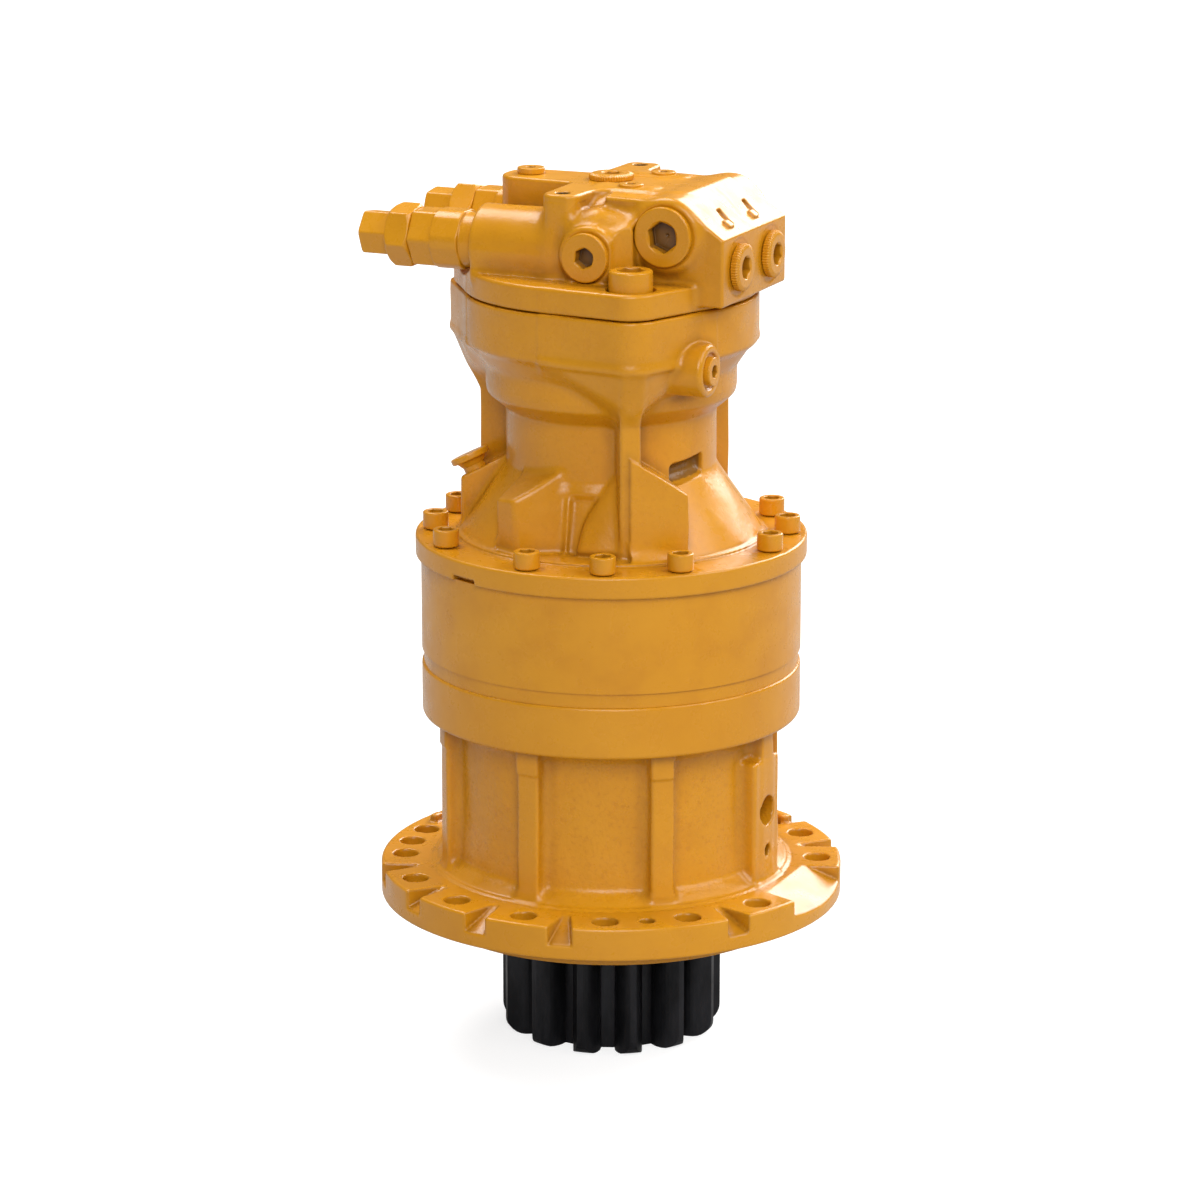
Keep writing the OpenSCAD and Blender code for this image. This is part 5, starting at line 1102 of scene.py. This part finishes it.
def make_screws():
    stub = 4
    clamp = screw_clay(9, CLAMP_HEAD, 10.2, 6.2, 0.55, CLAMP_R, stub)
    length = CLAMP_SEAT - reach("flange_screws", 0, 2) - stub
    places = [place((*polar(CLAMP_CIRCLE, a), CLAMP_SEAT), spin=spin) for a, spin in CLAMP_SCREWS]
    copies("clamp_screws", clamp, places, ["flange_screws"], tail=shank(CLAMP_R, -stub, length))
    stub = 5
    head = screw_clay(15, COVER_HEAD, 17.2, 10, 0.75, COVER_SCREW_R, stub)
    length = COVER_SEAT - reach("cover_screws", 0, 2) - stub
    places = [place((*polar(LOBE_CIRCLE, a), COVER_SEAT), spin=a * 0.7) for a in LOBES]
    copies("head_screws", head, places, ["cover_screws"], tail=shank(COVER_SCREW_R, -stub, length))


def make_plugs():
    sides = (-1, 1)
    ports = [place(sided(PORT, s), (1, 0, 0), spin=10) for s in sides]
    copies("port_knurled_plugs", plug_clay(16.4, 5.6, 14, 12, 14, 0.5, 8, 52), ports, ["port_plugs"])
    large = [place(sided(LARGE_PLUG, s), (0, s, 0), spin=8) for s in sides]
    copies("large_plugs", plug_clay(20.4, 4.5, 19, 16, 14, 0.6, 10), large, ["large_side_plugs"],
           bare_and_shade=socket_floor(11))
    small = [place(sided(SMALL_PLUG, s), (0, s, 0), spin=-6) for s in sides]
    copies("small_plugs", plug_clay(16.8, 4.5, 12.5, 11, 14, 0.5, 9), small, ["small_side_plugs"],
           bare_and_shade=socket_floor(7.4))
    copies("centre_top_plug", plug_clay(15.6, 4.6, 12, 11, 12, 0.5, 7, 52),
           [place((0, 0, COVER_TOP), spin=12)], ["centre_plug"])
    nose, pair = plug_clay(9.6, 4.4, 6, 6, 10, 0.35, 4), plug_clay(8.6, 3.0, 6, 6, 10, 0.35, 3)
    copies("nose_top_plug", nose, [place((NOSE_PLUG_X, 0, COVER_TOP), spin=5)], ["small_top_plugs"])
    tops = [place(sided(TOP_PLUG, s), spin=25 * s) for s in sides]
    copies("pair_top_plugs", pair, tops, [])
    x, y, z = BRAKE_PORT
    brake = plug_clay(9.8, 6, 8, 6.5, 14, 0.35, 5)
    copies("brake_plug", brake, [place((x - 3, y, z), (1, 0, 0), spin=15)], ["brake_port_plug"])


def make_filler_cap():
    """The mushroom cap: a stem, a flat head and the cone under it."""
    clay = Clay((-15, -15, -14), (15, 15, 14), 0.45)
    clay.add(post(8, -14, 9, 0.5))
    clay.add(post(14, 7.6, 12.2, 1.2), 1.0)
    clay.add(cone(8.5, 11, 3.8, 8), 0.8)
    copies("filler_mushroom", clay, [place(*filler_seat())], ["filler_cap"])


def chamfered_hexagon(af, z0, z1, edge, tip, middle=None):
    """A nut's form: a cone with its tip on Z takes the corners off, or two about a middle."""
    def corners(X, Y, Z):
        along = Z if middle is None else np.abs(Z - F(middle))
        return (np.sqrt(X * X + Y * Y) + along - F(tip)) * F(0.7)
    return both(hexagon(af, z0, z1, edge, 30), corners, 0.5)


def make_relief_valves():
    """Body, lock nut and cap of each relief valve, drawn outward from the cover's face."""
    corner_r = 21.25
    body = Clay((-23, -23, -43), (23, 23, 50), 0.75)
    body.add(cone(18.5, 19.2, -1, 11))
    body.add(post(15, -43, 2))
    body.add(both(hexagon(40.4, 10.4, 31.9, 0.3, 30), post(corner_r, 10.4, 31.9, 1.6), 0.4), 0.6)
    body.add(both(hexagon(37.5, 30, 48.9, 1.0, 30), post(corner_r, 30, 48.9, 1.2), 0.6), 0.4)
    nut = Clay((-24, -24, 48), (24, 24, 68), 0.7)
    nut.add(chamfered_hexagon(39, 48.9, 66.7, 0.6, 28.6, 57.8))
    cap = Clay((-19, -19, 66), (19, 19, 89), 0.6)
    cap.add(chamfered_hexagon(29, 66.7, 88.6, 0.8, 104.1))
    cap.cut(post(9.5, 87.9, 92), 0.3)
    for name, clay, node, spin in (
            ("relief_bodies", body, "relief_valve_bodies", 0),
            ("relief_nuts", nut, "relief_lock_nuts", 11),
            ("relief_top_caps", cap, "relief_caps", -7)):
        places = [place(sided(RELIEF, s), (-1, 0, 0), spin=spin * s) for s in (-1, 1)]
        copies(name, clay, places, [node])


# Springs

def along(point, axis):
    """How far a point lies along an axis."""
    return sum(p * a for p, a in zip(point, axis))


def spring(name, node, axis):
    """A spring's CAD mesh copied onto the housing in place of its node. Its length and far end along axis
    are worked out but not used.
    """
    ob = new_object(name, frame["nodes"][node].data.copy())
    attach(ob, "housing")
    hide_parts(node)
    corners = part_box(node)
    length = abs(along(corners[1], axis) - along(corners[0], axis))
    far = max(corners, key=lambda corner: along(corner, axis))
    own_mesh(ob)


def make_springs():
    spring("brake_spring_coils", "brake_springs", (0, 0, 1))
    spring("front_check_spring_coil", "check_spring_front", (0, -1, 0))
    spring("rear_check_spring_coil", "check_spring_rear", (0, 1, 0))


# Stage, in metres and degrees

# Name, direction towards it, strength and width of each sun
SUNS = (
    ("back", (0.15, 0.85, 0.5), 3.0, 40), ("key", (0.75, 0.1, 0.66), 1.5, 40),
    ("overhead", (-0.4, 0.18, 0.88), 2.0, 32), ("fill", (0.35, -0.78, 0.55), 1.85, 36))
WORLD_LIGHT = 0.15
FLOOR_COLOUR = (0.38, 0.38, 0.38)
FLOOR_GLOW = 0.76
FLOOR_HALF = 6.0
CAMERA_TURN, CAMERA_TILT = 24.25, 14.82
CAMERA_DISTANCE, CAMERA_SHIFT, CAMERA_HEIGHT = 3.012, 0.00792, 1.0086
CAMERA_LENS = 132.7


def make_floor():
    """A pale floor that the camera sees as white, with the object's shadow."""
    n = Nodes("pale_floor")
    n.shade("Base Color", FLOOR_COLOUR)
    n.shade("Roughness", 0.9)
    glow = n.new("ShaderNodeEmission")
    glow.inputs["Strength"].default_value = FLOOR_GLOW
    plus = n.new("ShaderNodeAddShader")
    n.link(n.bsdf.outputs[0], plus.inputs[0])
    n.link(glow.outputs[0], plus.inputs[1])
    seen = n.new("ShaderNodeMixShader")
    n.link(n.new("ShaderNodeLightPath").outputs["Is Camera Ray"], seen.inputs[0])
    n.link(n.bsdf.outputs[0], seen.inputs[1])
    n.link(plus.outputs[0], seen.inputs[2])
    n.link(seen.outputs[0], n.t.nodes["Material Output"].inputs["Surface"])
    mesh = bpy.data.meshes.new("floor")
    corners = [(x * FLOOR_HALF, y * FLOOR_HALF, cad_box[0][2])
               for x, y in ((-1, -1), (1, -1), (1, 1), (-1, 1))]
    mesh.from_pydata(corners, [], [(0, 1, 2, 3)])
    mesh.materials.append(n.mat)
    ob = new_object("floor", mesh)


def make_world():
    """White for the camera and a low even light for the object."""
    world = bpy.data.worlds.new("world")
    bpy.context.scene.world = world
    world.use_nodes = True
    t = world.node_tree
    light, seen = t.nodes["Background"], t.nodes.new("ShaderNodeBackground")
    for node, strength in ((light, WORLD_LIGHT), (seen, 1.0)):
        node.inputs["Color"].default_value = (1, 1, 1, 1)
        node.inputs["Strength"].default_value = strength
    mix = t.nodes.new("ShaderNodeMixShader")
    t.links.new(t.nodes.new("ShaderNodeLightPath").outputs["Is Camera Ray"], mix.inputs[0])
    t.links.new(light.outputs[0], mix.inputs[1])
    t.links.new(seen.outputs[0], mix.inputs[2])
    t.links.new(mix.outputs[0], t.nodes["World Output"].inputs["Surface"])


def make_lights():
    """Four wide suns."""
    for name, toward, strength, angle in SUNS:
        light = bpy.data.lights.new(name, "SUN")
        light.energy = strength
        light.angle = math.radians(angle)
        ob = new_object(name, light)
        ob.rotation_euler = Vector(toward).to_track_quat("Z", "Y").to_euler()


def make_camera():
    """The view of the photograph."""
    cam = bpy.data.cameras.new("camera")
    cam.sensor_width = 36
    cam.lens = CAMERA_LENS
    cam.clip_end = 100
    ob = new_object("camera", cam)
    turn = math.radians(CAMERA_TURN)
    c, s = math.cos(turn), math.sin(turn)
    ob.location = (-CAMERA_SHIFT * c + CAMERA_DISTANCE * s, -CAMERA_SHIFT * s - CAMERA_DISTANCE * c,
                   CAMERA_HEIGHT)
    ob.rotation_euler = (math.radians(90 - CAMERA_TILT), 0, turn)
    bpy.context.scene.camera = ob


dress_cad_nodes()
make_floor()
make_world()
make_lights()
make_camera()
bpy.context.scene.view_settings.view_transform = "Standard"
make_housing()
make_casing()
make_cover()
make_screws()
make_plugs()
make_filler_cap()
make_relief_valves()
make_springs()
